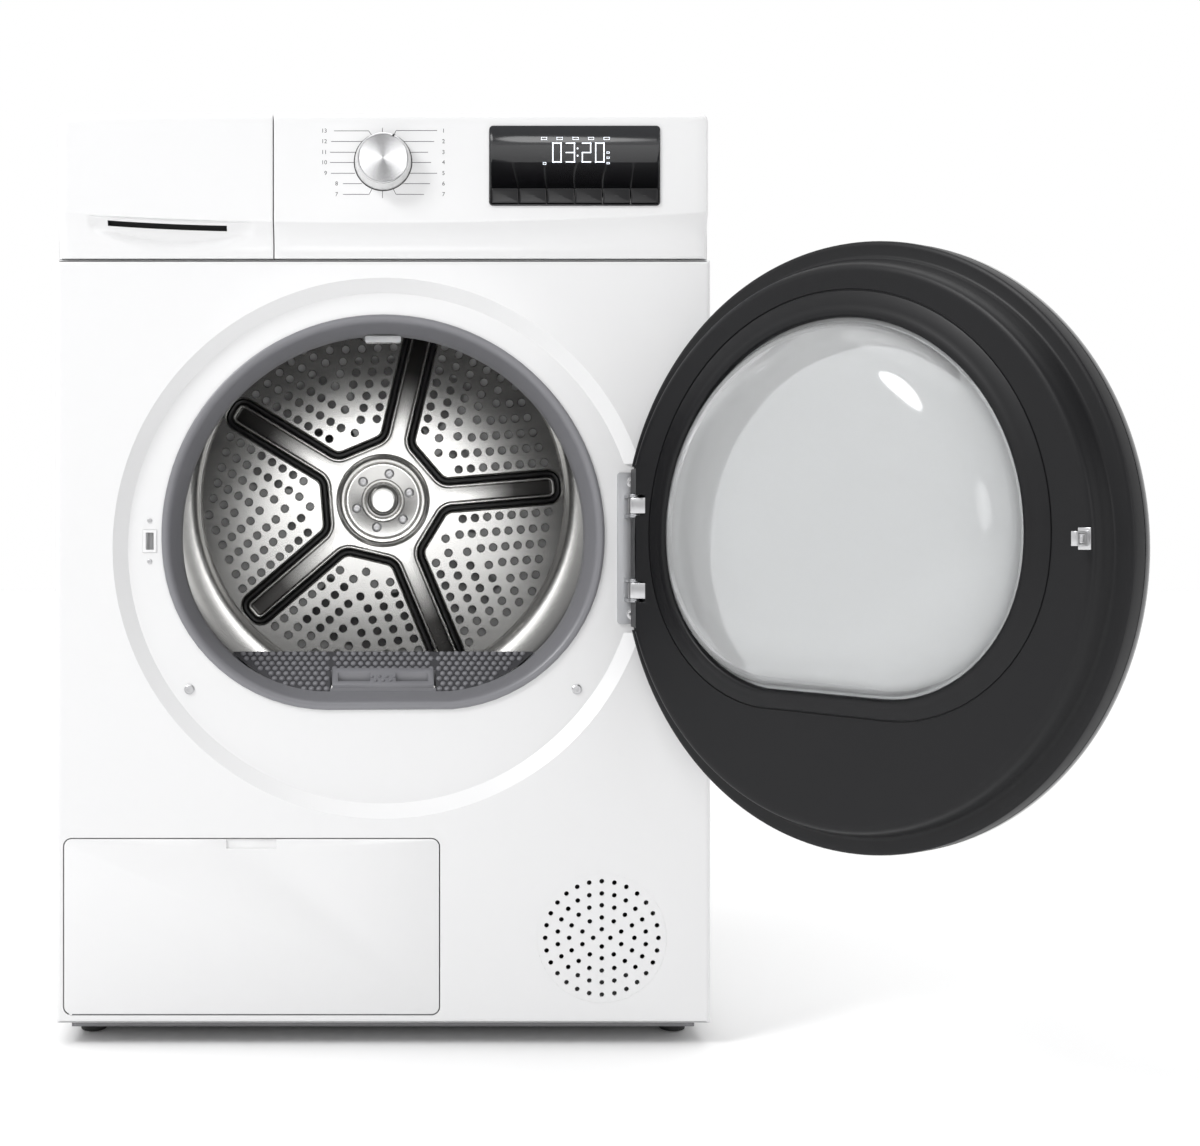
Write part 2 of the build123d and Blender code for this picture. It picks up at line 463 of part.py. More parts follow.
for name, s in (("roller_left", -1), ("roller_right", 1)):
    rx = s * (DRUM_R + GAP + ROLLER_R) * math.sin(math.radians(ROLLER_DEG))
    rz = DRUM_Z - (DRUM_R + GAP + ROLLER_R) * math.cos(math.radians(ROLLER_DEG))
    save(name, ycyl(rx, rz, ROLLER_R, -230.5, -219) - ycyl(rx, rz, 5.05, -240, -210))

# ================================================================ heat pump
cp = zcyl(205, -150, 56, 30, 176)
cp = fillet(cp.edges().filter_by(GeomType.CIRCLE), 22)
cp += zcyl(205, -150, 8, 170, 186)
for k in range(3):
    a = math.radians(30 + 120 * k)
    cp += zcyl(205 + 62 * math.cos(a), -150 + 62 * math.sin(a), 9, 13, 30) + zcyl(205 + 50 * math.cos(a), -150 + 50 * math.sin(a), 18, 30, 34)
save("compressor", cp)
hx = box(-256, 34, -250, -10, 36, 196) - box(-252, 30, -255, -5, 40, 192)
hx += box(-256, 34, -252, -250, 36, 196)
for k in range(8):
    hx += box(-254, 32, -235 + 28 * k, -231 + 28 * k, 38, 194)
hx += sweep(Plane(origin=(205, -150, 186), z_dir=(0, 0, 1)) * Circle(4.0), path=FilletPolyline((205, -150, 186), (205, -150, 206), (10, -150, 206), (10, -150, 195), radius=8))
save("heat_exchanger", hx)
save("condensate_pump", box(-262, -200, 40, 100, 13, 60) + zcyl(-231, 70, 22, 60, 92))

# service flap, hinged at its lower edge on two stubs carried by the front panel's inner brackets
sf = prism(rrect(FLAP[0], FLAP[1], FLAP[2], FLAP[3], 7), -3.0, 0.0)
sf -= fbox(-142, -97, -1.6, 1, FLAP[3] - 8.5, FLAP[3] + 1)
for xa, xb in ((FLAP[0] + 12, FLAP[0] + 17), (FLAP[1] - 17, FLAP[1] - 12)):
    sf += fbox(xa, xb, FLAP_AX_F, -2.5, FLAP_AX_Z - 4, FLAP_AX_Z + 4) + Pos((xa + xb) / 2, FRONT_Y - FLAP_AX_F, FLAP_AX_Z) * Rot(0, 90, 0) * Cylinder(4.0, xb - xa)
sf += Pos(FLAP[0] + 8.5, FRONT_Y - FLAP_AX_F, FLAP_AX_Z) * Rot(0, 90, 0) * Cylinder(2.0, 8.0)
sf += Pos(FLAP[1] - 8.5, FRONT_Y - FLAP_AX_F, FLAP_AX_Z) * Rot(0, 90, 0) * Cylinder(2.0, 8.0)
save("service_flap", sf)
# mains lead gland on the rear panel
gl = ycyl(-245, 770, 8, 273.6, 288.6) - ycyl(-245, 770, 3.6, 265, 300)
gl += box(-262, -228, 286.0, 288.6, 753.4, 825.6) - ycyl(-245, 770, 7, 265, 300)
save("mains_gland", gl)

# levelling feet
for name, sx, sy in (("foot_front_left", -1, -1), ("foot_front_right", 1, -1), ("foot_rear_left", -1, 1), ("foot_rear_right", 1, 1)):
    prof = make_face(Plane.XZ * Polyline((0, 0), (11.5, 0), (12.0, 0.5), (12.0, 6.0), (4.0, 6.0), (4.0, 32.0), (0, 32.0), close=True))
    save(name, Pos(sx * FOOT_X, sy * FOOT_Y, 0) * revolve(prof, Axis.Z, 360))

# ================================================================ door (drawn closed, then swung open about the hinge axis)
frame_pts = [(236, 10), (223, 10), (217, -6), (95, -6), (95, -3), (215.6, -3), (221.6, 13), (233, 13), (233, 24), (236, 24)]
fr = rev(frame_pts, DOOR_Z)
fr -= prism(d_glass(167.0), -10, 2)
ear = extrude(place(rrect(198, 244, DOOR_Z - 71, DOOR_Z + 71, 8), 5.0), 17.0)
ear -= rev([(0, -20), (221.5, -20), (221.5, 13.0), (0, 13.0)], DOOR_Z)
fr += ear
fr += fbox(185, 222, 13.0, 16.0, DOOR_Z - 58, DOOR_Z + 58)
notch_z = ARM_H / 2 + 0.4 + 3.0 + 0.8
for s in (-1, 1):
    zc = DOOR_Z + s * ARM_DZ
    fr -= fbox(HINGE_X - 8.5, 260, -20, 60, zc - notch_z, zc + notch_z)
    fr -= fbox(HINGE_X - 33, 260, -20, 10.0, zc - 9.4, zc + 9.4)
    fr -= fbox(HINGE_X - 36.3, HINGE_X - 8, 9.7, 14.3, zc - ARM_H / 2 - 0.0, zc + ARM_H / 2 + 0.0)
cover_pts = [(238, 24), (238, 29.5), (234, 33.5), (228, 36.5), (215, 40.5), (190, 43), (172, 42), (166, 40.5), (164.5, 40.5), (163.5, 42.6), (161, 43.4), (158.5, 42.0), (158.5, 37.0), (172, 37.0),
             (175, 39.4), (190, 40.4), (214, 37.9), (226, 34.4), (231, 32), (234, 28.7), (234, 24)]
cv = rev(cover_pts, DOOR_Z)
for s in (-1, 1):
    zc = DOOR_Z + s * ARM_DZ
    cv -= fbox(HINGE_X - 8.5, 260, -20, 60, zc - notch_z, zc + notch_z)
gl_out = [(-3.0, 164.0), (-12.0, 161.0), (-22.0, 153.0), (-30.0, 142.0), (-36.0, 126.0), (-39.0, 100.0)]
bowl = None
for (f0, r0), (f1, r1) in zip(gl_out, gl_out[1:]):
    seg = loft([place(d_glass(r0), f0), place(d_glass(r1), f1)])
    bowl = seg if bowl is None else bowl + seg
cav = None
gl_in = [(1.5, 160.0), (-10.5, 157.0), (-19.5, 149.5), (-26.5, 139.0), (-32.0, 124.0), (-35.0, 98.0)]
for (f0, r0), (f1, r1) in zip(gl_in, gl_in[1:]):
    seg = loft([place(d_glass(r0), f0), place(d_glass(r1), f1)])
    cav = seg if cav is None else cav + seg
bowl = bowl + prism(d_glass(176.0), -3.0, 1.0)
bowl -= cav
win = ycyl(0, DOOR_Z, 171, FRONT_Y - 37, FRONT_Y - 34)
# strike hook
st = fbox(LATCH_X - 2.0, LATCH_X + 2.0, -6.0 - 15.5, -6.0, LATCH_Z - 5.0, LATCH_Z + 5.0)
st -= fbox(LATCH_X - 5, LATCH_X + 5, -6.0 - 11.5, -6.0 - 5.0, LATCH_Z - 3.0, LATCH_Z + 3.0)
st += fbox(LATCH_X - 3.6, LATCH_X + 5.5, -7.0, -6.0, LATCH_Z - 7.5, LATCH_Z + 7.5)
arms = []
for s in (-1, 1):
    zc = DOOR_Z + s * ARM_DZ
    a = zcyl(HINGE_X, FRONT_Y - HINGE_F, 6.0, zc - ARM_H / 2, zc + ARM_H / 2)
    a += fbox(HINGE_X - 36, HINGE_X, 10.0, 14.0, zc - ARM_H / 2, zc + ARM_H / 2)
    a -= zcyl(HINGE_X, FRONT_Y - HINGE_F, 3.05, zc - 12, zc + 12)
    arms.append(a)

swing = Pos(HINGE_X, FRONT_Y - HINGE_F, 0) * Rot(0, 0, DOOR_REST_DEG) * Pos(-HINGE_X, -(FRONT_Y - HINGE_F), 0)
# relief beside the hinge, so that the open door leaves the bracket and its screws in view
relief = box(150, 224.6, -345, -240, DOOR_Z - 73.0, DOOR_Z + 73.0)
for name, shape in (("door_frame", fr), ("door_cover", cv)):
    save(name, sorted(((swing * shape) - relief).solids(), key=lambda q: q.volume)[-1])
for name, shape in (("door_glass_bowl", bowl), ("door_window", win), ("door_strike", st)):
    save(name, swing * shape)
save("hinge_arms", *[swing * a for a in arms])

print(len(made), "nodes")
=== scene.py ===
"""Clothes dryer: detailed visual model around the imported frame. Helper units are millimetres; f is the distance in front of the front face."""
import json
import math

import bmesh
import bpy
from mathutils import Matrix, Vector
from mathutils.geometry import delaunay_2d_cdt


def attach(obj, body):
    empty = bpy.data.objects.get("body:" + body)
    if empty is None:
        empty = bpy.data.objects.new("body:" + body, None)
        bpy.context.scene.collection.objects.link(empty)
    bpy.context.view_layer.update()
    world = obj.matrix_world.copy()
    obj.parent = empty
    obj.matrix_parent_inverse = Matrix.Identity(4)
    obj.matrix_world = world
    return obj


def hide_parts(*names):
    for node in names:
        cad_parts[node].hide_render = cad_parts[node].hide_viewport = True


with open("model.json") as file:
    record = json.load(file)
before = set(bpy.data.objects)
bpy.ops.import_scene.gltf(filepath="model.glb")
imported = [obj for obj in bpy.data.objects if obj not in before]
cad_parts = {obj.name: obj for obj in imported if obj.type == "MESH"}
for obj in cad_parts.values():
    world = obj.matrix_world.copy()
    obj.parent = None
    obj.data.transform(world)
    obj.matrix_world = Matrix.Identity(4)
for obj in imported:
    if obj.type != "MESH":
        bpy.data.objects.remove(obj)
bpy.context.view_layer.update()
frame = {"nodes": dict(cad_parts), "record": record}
nodes, record = frame["nodes"], frame["record"]
BODY = {n: b for b, ns in record["behaviour"]["bodies"].items() for n in ns}
SLOT = {}
for part in record["subparts"]:
    SLOT[part["node"]] = part["material_slot"]
scene = bpy.context.scene

DOOR_Z, HINGE_X, HINGE_F, REST = 451.5, 226.0, 15.0, 126.5
OPEN_Z, OPEN_R, OPEN_RC, OPEN_DROP = 462.6, 202.3, 152.0, 158.7
GLASS_R, GLASS_RC, GLASS_DROP = 165.0, 115.0, 123.0
DRUM_Z = 509.0


# ------------------------------------------------------------------ materials
def material(name, color, rough=0.4, metal=0.0, coat=0.0, noise=0.0, scale=40.0, stretch=(1, 1, 1), bump=0.0,
             emit=None, transmission=0.0, ior=1.5, alpha=1.0, aniso=0.0, radial=False):
    m = bpy.data.materials.new(name)
    m.use_nodes = True
    nt = m.node_tree
    b = nt.nodes["Principled BSDF"]
    b.inputs["Base Color"].default_value = (*color, 1)
    b.inputs["Roughness"].default_value = rough
    b.inputs["Metallic"].default_value = metal
    b.inputs["Coat Weight"].default_value = coat
    b.inputs["Coat Roughness"].default_value = 0.08
    b.inputs["IOR"].default_value = ior
    b.inputs["Transmission Weight"].default_value = transmission
    b.inputs["Alpha"].default_value = alpha
    if aniso:
        b.inputs["Anisotropic"].default_value = aniso
    if radial:
        t = nt.nodes.new("ShaderNodeTangent")
        t.direction_type, t.axis = "RADIAL", "Y"
        nt.links.new(t.outputs[0], b.inputs["Tangent"])
    if emit:
        b.inputs["Emission Color"].default_value = (*color, 1)
        b.inputs["Emission Strength"].default_value = emit
    tc = nt.nodes.new("ShaderNodeTexCoord")
    mp = nt.nodes.new("ShaderNodeMapping")
    mp.inputs["Scale"].default_value = stretch
    nz = nt.nodes.new("ShaderNodeTexNoise")
    nz.inputs["Scale"].default_value = scale
    nz.inputs["Detail"].default_value = 4
    nt.links.new(tc.outputs["Object"], mp.inputs[0])
    nt.links.new(mp.outputs[0], nz.inputs["Vector"])
    if noise:
        mr = nt.nodes.new("ShaderNodeMapRange")
        mr.inputs["To Min"].default_value = max(0.02, rough - noise)
        mr.inputs["To Max"].default_value = rough + noise
        nt.links.new(nz.outputs["Fac"], mr.inputs["Value"])
        nt.links.new(mr.outputs[0], b.inputs["Roughness"])
    if bump:
        bp = nt.nodes.new("ShaderNodeBump")
        bp.inputs["Strength"].default_value = bump
        bp.inputs["Distance"].default_value = 0.0002
        nt.links.new(nz.outputs["Fac"], bp.inputs["Height"])
        nt.links.new(bp.outputs[0], b.inputs["Normal"])
    return m


def shaded(name, stops, rough, coat=0.0, metal=0.0, axis="Z", lo=0.0, hi=1.0):
    """Colour runs along one object axis: a gradient painted into a face's colour, used here for a painted reflection.
    """
    m = material(name, stops[0], rough, metal, coat, noise=0.02)
    nt = m.node_tree
    tc = nt.nodes.new("ShaderNodeTexCoord")
    sp = nt.nodes.new("ShaderNodeSeparateXYZ")
    mr = nt.nodes.new("ShaderNodeMapRange")
    mr.inputs["From Min"].default_value, mr.inputs["From Max"].default_value = lo, hi
    cr = nt.nodes.new("ShaderNodeValToRGB")
    cr.color_ramp.elements[0].color = (*stops[0], 1)
    cr.color_ramp.elements[1].color = (*stops[1], 1)
    nt.links.new(tc.outputs["Object"], sp.inputs[0])
    nt.links.new(sp.outputs[axis], mr.inputs["Value"])
    nt.links.new(mr.outputs[0], cr.inputs["Fac"])
    nt.links.new(cr.outputs["Color"], nt.nodes["Principled BSDF"].inputs["Base Color"])
    return m


MAT = {
    "white_enamel": material("white_enamel", (0.76, 0.76, 0.765), 0.33, coat=0.15, noise=0.03, scale=300, bump=0.03),
    "white_plastic": material("white_plastic", (0.76, 0.76, 0.765), 0.30, coat=0.12, noise=0.03, scale=220, bump=0.02),
    "galvanised": material("galvanised", (0.42, 0.425, 0.44), 0.42, metal=0.85, noise=0.06, scale=60),
    "aluminium_fins": material("aluminium_fins", (0.72, 0.73, 0.75), 0.35, metal=0.9, noise=0.05, scale=150, stretch=(1, 20, 1)),
    "bulkhead_plastic": material("bulkhead_plastic", (0.20, 0.20, 0.215), 0.5, noise=0.05, scale=90),
    "base_grey": material("base_grey", (0.24, 0.24, 0.25), 0.5, noise=0.05, scale=100),
    "bezel_grey": material("bezel_grey", (0.20, 0.20, 0.215), 0.36, noise=0.04, scale=160, bump=0.02),
    "stainless": material("stainless", (0.66, 0.655, 0.64), 0.24, metal=1.0, noise=0.05, scale=25, stretch=(1, 1, 30)),
    "zinc_screw": material("zinc_screw", (0.55, 0.55, 0.56), 0.3, metal=0.95, noise=0.06, scale=200),
    "door_black": material("door_black", (0.007, 0.007, 0.008), 0.40, noise=0.03, scale=120, ior=1.33),
    "door_gloss": material("door_gloss", (0.012, 0.012, 0.014), 0.12, coat=0.8, noise=0.02, scale=80),
    "clear_glass": material("clear_glass", (0.80, 0.81, 0.815), 0.04, transmission=0.7, ior=1.33, noise=0.01, scale=20),
    "display_black": material("display_black", (0.006, 0.006, 0.007), 0.30, noise=0.02, scale=50),
    "knob_metal": material("knob_metal", (0.62, 0.62, 0.63), 0.25, metal=1.0, aniso=0.85, radial=True, noise=0.03, scale=60),
    "lamp_lens": material("lamp_lens", (0.85, 0.86, 0.87), 0.15, transmission=0.4, noise=0.02),
    "tank_translucent": material("tank_translucent", (0.80, 0.83, 0.85), 0.25, transmission=0.3, noise=0.03),
    "lifter_grey": material("lifter_grey", (0.32, 0.32, 0.33), 0.4, noise=0.04, scale=70),
    "duct_grey": material("duct_grey", (0.72, 0.72, 0.72), 0.35, noise=0.04, scale=60, coat=0.3),
    "duct_black": material("duct_black", (0.05, 0.05, 0.052), 0.5, noise=0.05, scale=70),
    "motor_steel": material("motor_steel", (0.45, 0.45, 0.47), 0.38, metal=0.9, noise=0.07, scale=90),
    "compressor_black": material("compressor_black", (0.02, 0.02, 0.022), 0.35, coat=0.3, noise=0.05, scale=60),
    "rubber_black": material("rubber_black", (0.018, 0.018, 0.018), 0.65, noise=0.06, scale=200, bump=0.1),
    "roller_nylon": material("roller_nylon", (0.75, 0.74, 0.70), 0.4, noise=0.04, scale=90),
    "board_green": material("board_green", (0.02, 0.16, 0.06), 0.4, noise=0.05, scale=90),
    "gland_black": material("gland_black", (0.02, 0.02, 0.022), 0.45, noise=0.05, scale=120),
}
DARK = material("shadow_black", (0.004, 0.004, 0.005), 0.6, noise=0.03)
INK = material("dial_ink", (0.03, 0.03, 0.032), 0.5, noise=0.03)
# groove floor round the star: near-black painted shade standing in for the depth of a deep groove
GROOVE_PAINTED_SHADE = material("groove_painted_shade", (0.010, 0.010, 0.010), 0.35, noise=0.04)
LEDGE_DARK = material("ledge_shadow", (0.045, 0.045, 0.05), 0.55, noise=0.04)


def arm_metal_painted_shade():
    """Stainless with a colour ramp that darkens towards the arm tips: painted shade, standing in for the dark
    reflection on the sloping arm ends. A look only: no geometry makes it.
    """
    m = material("arm_stainless_painted_shade", (0.66, 0.655, 0.64), 0.26, 1.0, noise=0.05, scale=25)
    nt = m.node_tree
    tc = nt.nodes.new("ShaderNodeTexCoord")
    mp = nt.nodes.new("ShaderNodeMapping")
    mp.inputs["Location"].default_value = (0, 0, -DRUM_Z / 1000)
    mp.inputs["Scale"].default_value = (1, 0, 1)
    ln = nt.nodes.new("ShaderNodeVectorMath")
    ln.operation = "LENGTH"
    cr = nt.nodes.new("ShaderNodeValToRGB")
    mr = nt.nodes.new("ShaderNodeMapRange")
    mr.inputs["From Min"].default_value, mr.inputs["From Max"].default_value = 0.085, 0.205
    e = cr.color_ramp.elements
    e[0].color, e[1].color = (0.66, 0.655, 0.64, 1), (0.07, 0.068, 0.066, 1)
    e[1].position = 0.62
    nt.links.new(tc.outputs["Object"], mp.inputs[0])
    nt.links.new(mp.outputs[0], ln.inputs[0])
    nt.links.new(ln.outputs["Value"], mr.inputs["Value"])
    nt.links.new(mr.outputs[0], cr.inputs["Fac"])
    nt.links.new(cr.outputs["Color"], nt.nodes["Principled BSDF"].inputs["Base Color"])
    return m
LIT = material("display_lit", (0.9, 0.93, 0.98), 0.4, emit=1.0)
RING_WHITE = material("knob_bevel", (0.74, 0.74, 0.74), 0.25, metal=0.4, coat=0.3, noise=0.03)


# ------------------------------------------------------------------ mesh helpers
def P(x, f, z):
    return Vector((x / 1000, (-300 - f) / 1000, z / 1000))


class Shape:
    def __init__(self):
        self.v, self.f, self.m = [], [], []

    def add(self, pts, faces, m=0):
        b = len(self.v)
        self.v += [Vector(p) for p in pts]
        for q in faces:
            self.f.append([b + i for i in q])
            self.m.append(m)

    def rings(self, rings, m=0, closed=True, loop=False):
        n = len(rings[0])
        pts = [p for r in rings for p in r]
        faces = []
        k = len(rings)
        for i in range(k if loop else k - 1):
            a, b = i * n, ((i + 1) % k) * n
            for j in range(n if closed else n - 1):
                j2 = (j + 1) % n
                faces.append((a + j, a + j2, b + j2, b + j))
        self.add(pts, faces, m)

    def skin(self, shape, prof, m=0, loop=False):
        self.rings([[P(x, f, z) for x, z in shape(d)] for d, f in prof], m, True, loop)

    def lathe(self, prof, cx, cz, m=0, n=96, loop=False):
        self.rings([[P(cx + r * math.sin(2 * math.pi * j / n), f, cz + r * math.cos(2 * math.pi * j / n)) for j in range(n)] for r, f in prof], m, True, loop)

    def lathe_gap(self, prof, cz, lim, m=0, n=180):
        """Lathe about x = 0 that leaves out the band within lim of the centre height on the right side."""
        rings = []
        for r, f in prof:
            g = math.asin(min(1.0, lim / r))
            rings.append([P(r * math.cos(g + (2 * math.pi - 2 * g) * j / n), f, cz + r * math.sin(g + (2 * math.pi - 2 * g) * j / n)) for j in range(n + 1)])
        self.rings(rings, m, closed=False)

    def cad_band(self, node, lim, xmin, m=0):
        """The CAD node's own mesh within lim of the door's centre height and right of xmin, in closed-door coordinates."""
        bm = bmesh.new()
        bm.from_mesh(nodes[node].data)
        bmesh.ops.remove_doubles(bm, verts=bm.verts, dist=2e-6)
        h = Vector((HINGE_X / 1000, (-300 - HINGE_F) / 1000, 0))
        bmesh.ops.transform(bm, matrix=Matrix.Translation(h) @ Matrix.Rotation(math.radians(-REST), 4, "Z") @ Matrix.Translation(-h), verts=bm.verts)
        for co, no in (((0, 0, (DOOR_Z + lim) / 1000), (0, 0, 1)), ((0, 0, (DOOR_Z - lim) / 1000), (0, 0, -1)), ((xmin / 1000, 0, 0), (-1, 0, 0))):
            bmesh.ops.bisect_plane(bm, geom=bm.verts[:] + bm.edges[:] + bm.faces[:], plane_co=co, plane_no=no, clear_outer=True)
        bm.verts.index_update()
        self.add([v.co.copy() for v in bm.verts], [[v.index for v in q.verts] for q in bm.faces], m)
        bm.free()

    def sheet(self, outer, holes, f, m=0):
        pts, edges = [], []
        for lp in [outer] + holes:
            b = len(pts)
            pts += [Vector((x, z)) for x, z in lp]
            edges += [(b + i, b + (i + 1) % len(lp)) for i in range(len(lp))]
        vs, _, fs, _, _, _ = delaunay_2d_cdt(pts, edges, [], 0, 1e-5)
        keep = []
        for t in fs:
            c = (vs[t[0]] + vs[t[1]] + vs[t[2]]) / 3
            if inside(c, outer) and not any(inside(c, h) for h in holes if near(c, h)):
                keep.append(tuple(t))
        self.add([P(v[0], f, v[1]) for v in vs], keep, m)

    def cap(self, loop, f, m=0):
        self.add([P(x, f, z) for x, z in loop], [tuple(range(len(loop)))], m)

    def block(self, x0, x1, f0, f1, z0, z1, m=0):
        p = [P(x, f, z) for x in (x0, x1) for f in (f0, f1) for z in (z0, z1)]
        self.add(p, [(0, 1, 3, 2), (4, 6, 7, 5), (0, 4, 5, 1), (2, 3, 7, 6), (0, 2, 6, 4), (1, 5, 7, 3)], m)

    def build(self, name, mats, body, replace=(), angle=32, origin=None, turn=False, recalc=True, merge=1e-6):
        me = bpy.data.meshes.new(name)
        me.from_pydata(self.v, [], self.f)
        for i, p in enumerate(me.polygons):
            p.material_index = self.m[i]
        bm = bmesh.new()
        bm.from_mesh(me)
        bmesh.ops.remove_doubles(bm, verts=bm.verts, dist=merge)
        if recalc:
            bmesh.ops.recalc_face_normals(bm, faces=bm.faces)
        if turn:
            h = Vector((HINGE_X / 1000, (-300 - HINGE_F) / 1000, 0))
            bmesh.ops.transform(bm, matrix=Matrix.Translation(h) @ Matrix.Rotation(math.radians(REST), 4, "Z") @ Matrix.Translation(-h), verts=bm.verts)
        if origin is not None:
            bmesh.ops.translate(bm, vec=-origin, verts=bm.verts)
        bm.to_mesh(me)
        bm.free()
        for mt in mats:
            me.materials.append(mt)
        me.polygons.foreach_set("use_smooth", [True] * len(me.polygons))
        me.set_sharp_from_angle(angle=math.radians(angle))
        o = bpy.data.objects.new(name, me)
        scene.collection.objects.link(o)
        if origin is not None:
            o.location = origin
        bpy.context.view_layer.update()
        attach(o, body)
        if replace:
            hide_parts(*replace)
        return o


def inside(c, lp):
    x, y, r = c[0], c[1], False
    j = len(lp) - 1
    for i in range(len(lp)):
        xi, yi = lp[i]
        xj, yj = lp[j]
        if (yi > y) != (yj > y) and x < (xj - xi) * (y - yi) / (yj - yi) + xi:
            r = not r
        j = i
    return r


def near(c, lp):
    return abs(c[0] - lp[0][0]) < 700 if len(lp) > 40 else (abs(c[0] - lp[0][0]) < 12 and abs(c[1] - lp[0][1]) < 12)


def circle(cx, cz, r, n=96, a0=0.0):
    return [(cx + r * math.sin(2 * math.pi * i / n + a0), cz + r * math.cos(2 * math.pi * i / n + a0)) for i in range(n)]


def rrect(x0, x1, z0, z1, r, n=6):
    pts = []
    for cx, cz, a in ((x1 - r, z1 - r, 0), (x0 + r, z1 - r, 90), (x0 + r, z0 + r, 180), (x1 - r, z0 + r, 270)):
        for i in range(n + 1):
            t = math.radians(a + 90 * i / n)
            pts.append((cx + r * math.cos(t), cz + r * math.sin(t)))
    return pts


def dshape(r, rc, drop, zc=OPEN_Z, n=60, m=16):
    cy = rc - drop
    cx = math.sqrt(max((r - rc) ** 2 - cy ** 2, 1e-6))
    k = r / (r - rc)
    tx, ty = cx * k, cy * k
    at = math.atan2(ty, tx)
    a1 = math.atan2(ty - cy, tx - cx)
    pts = []
    for i in range(n + 1):
        a = at + (math.pi - 2 * at) * i / n
        pts.append((r * math.cos(a), zc + r * math.sin(a)))
    for i in range(1, m + 1):
        a = (math.pi - a1) + (a1 + math.pi / 2) * i / m
        pts.append((-cx + rc * math.cos(a), zc + cy + rc * math.sin(a)))
    for i in range(1, m):
        a = -math.pi / 2 + (a1 + math.pi / 2) * i / m
        pts.append((cx + rc * math.cos(a), zc + cy + rc * math.sin(a)))
    return pts


def d_open(d):
    return dshape(OPEN_R - d, OPEN_RC - d, OPEN_DROP - d)


def d_glass(r):
    k = r / GLASS_R
    return dshape(r, GLASS_RC * k, GLASS_DROP * k)


def refine(name, bevel=0.0, angle=32, mats=None, segs=2):
    """A node's own shape, welded and smooth shaded, with small edge roundings."""
    src = nodes[name]
    me = src.data.copy()
    bm = bmesh.new()
    bm.from_mesh(me)
    bmesh.ops.remove_doubles(bm, verts=bm.verts, dist=2e-6)
    if bevel:
        bmesh.ops.dissolve_limit(bm, angle_limit=math.radians(0.4), verts=bm.verts, edges=bm.edges)
        es = [e for e in bm.edges if len(e.link_faces) == 2 and e.calc_face_angle(0) > math.radians(40)]
        if es:
            bmesh.ops.bevel(bm, geom=es, offset=bevel / 1000, segments=segs, profile=0.5, affect="EDGES", clamp_overlap=True)
    bmesh.ops.recalc_face_normals(bm, faces=bm.faces)
    bm.to_mesh(me)
    bm.free()
    for layer in ("custom_normal", "sharp_face", "sharp_edge"):
        if layer in me.attributes:
            me.attributes.remove(me.attributes[layer])
    me.materials.clear()
    for mt in mats or [MAT[SLOT[name]]]:
        me.materials.append(mt)
    me.polygons.foreach_set("material_index", [0] * len(me.polygons))
    me.polygons.foreach_set("use_smooth", [True] * len(me.polygons))
    me.set_sharp_from_angle(angle=math.radians(angle))
    o = bpy.data.objects.new(name + "_skin", me)
    scene.collection.objects.link(o)
    bpy.context.view_layer.update()
    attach(o, BODY[name])
    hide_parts(name)
    return o


# ------------------------------------------------------------------ every CAD node gets its finish
for n, o in nodes.items():
    o.data.materials.clear()
    o.data.materials.append(MAT[SLOT[n]])
BEVEL = {"worktop": 0.8, "front_panel": 0.0, "side_panel_left": 0.0, "side_panel_right": 0.0, "latch_housing": 0.35, "hinge_bracket": 0.4,
         "hinge_arms": 0.8, "hinge_pins": 0.3, "service_flap": 0.5, "door_strike": 0.4, "case_screws": 0.0, "base_tray": 0.0, "rear_panel": 0.0,
         "foot_front_left": 0.5, "foot_front_right": 0.5, "foot_rear_left": 0.5, "foot_rear_right": 0.5, "lint_filter": 0.5,
         "drum_lamp_lens": 0.5, "drum_lifters": 1.2, "intake_grille": 0.0, "front_bulkhead": 0.0, "rear_duct": 0.0, "mains_gland": 0.0,
         "water_tank": 0.0, "tank_sleeve": 0.0, "compressor": 0.0, "motor_body": 0.0, "motor_rotor": 0.0, "fan_wheel": 0.0, "fan_housing": 0.0,
         "drive_belt": 0.0, "idler_pulley": 0.0, "roller_left": 0.0, "roller_right": 0.0, "rear_bearing": 0.0, "heat_exchanger": 0.0, "condensate_pump": 0.0,
         "control_board": 0.0, "drum_shaft": 0.0}
for n, w in BEVEL.items():
    if n in nodes:
        refine(n, w)

# ------------------------------------------------------------------ drum: face, hub, wall
STAR0 = 13.3


def star_loop(d):
    """Outline of the five-armed star at offset d outwards, the same number of points for every d."""
    w, hub, tip, rt, rf = 12.5 + d, 65.5 + d, 207.5 + d, 8.0 + d, 20.5 - d
    s36, c36 = math.sin(math.radians(36)), math.cos(math.radians(36))
    v0 = (hub - w * s36) / c36                       # where the arm's side meets the hub edge
    # concave fillet: centre lies rf from both lines, on the sector side
    cu = w + rf
    cv = (hub + rf - cu * s36) / c36
    half = []                                        # right side, from the hub edge up to the tip, in (u, v)
    a_hub = math.degrees(math.atan2(-c36, -s36))     # direction from the centre to the hub edge
    for i in range(9):
        a = math.radians(a_hub + (-180 - a_hub) * i / 8) if a_hub < 0 else 0
        half.append((cu + rf * math.cos(a), cv + rf * math.sin(a)))
    for i in range(7):
        a = math.radians(90 * i / 6)
        half.append((w - rt + rt * math.cos(a), tip - rt + rt * math.sin(a)))
    pts = []
    for k in range(5):
        t = math.radians(STAR0 + 72 * k)
        c, s = math.cos(t), math.sin(t)
        for u, v in half:                             # clockwise side
            pts.append((u * c + v * s, DRUM_Z + v * c - u * s, k, 0))
        # mirrored side is added in order below
    out = []
    for k in range(5):
        t = math.radians(STAR0 + 72 * k)
        c, s = math.cos(t), math.sin(t)
        arm = [(-u, v) for u, v in half] + [(u, v) for u, v in reversed(half)]
        out += [(u * c + v * s, DRUM_Z + v * c - u * s) for u, v in arm]
    return out


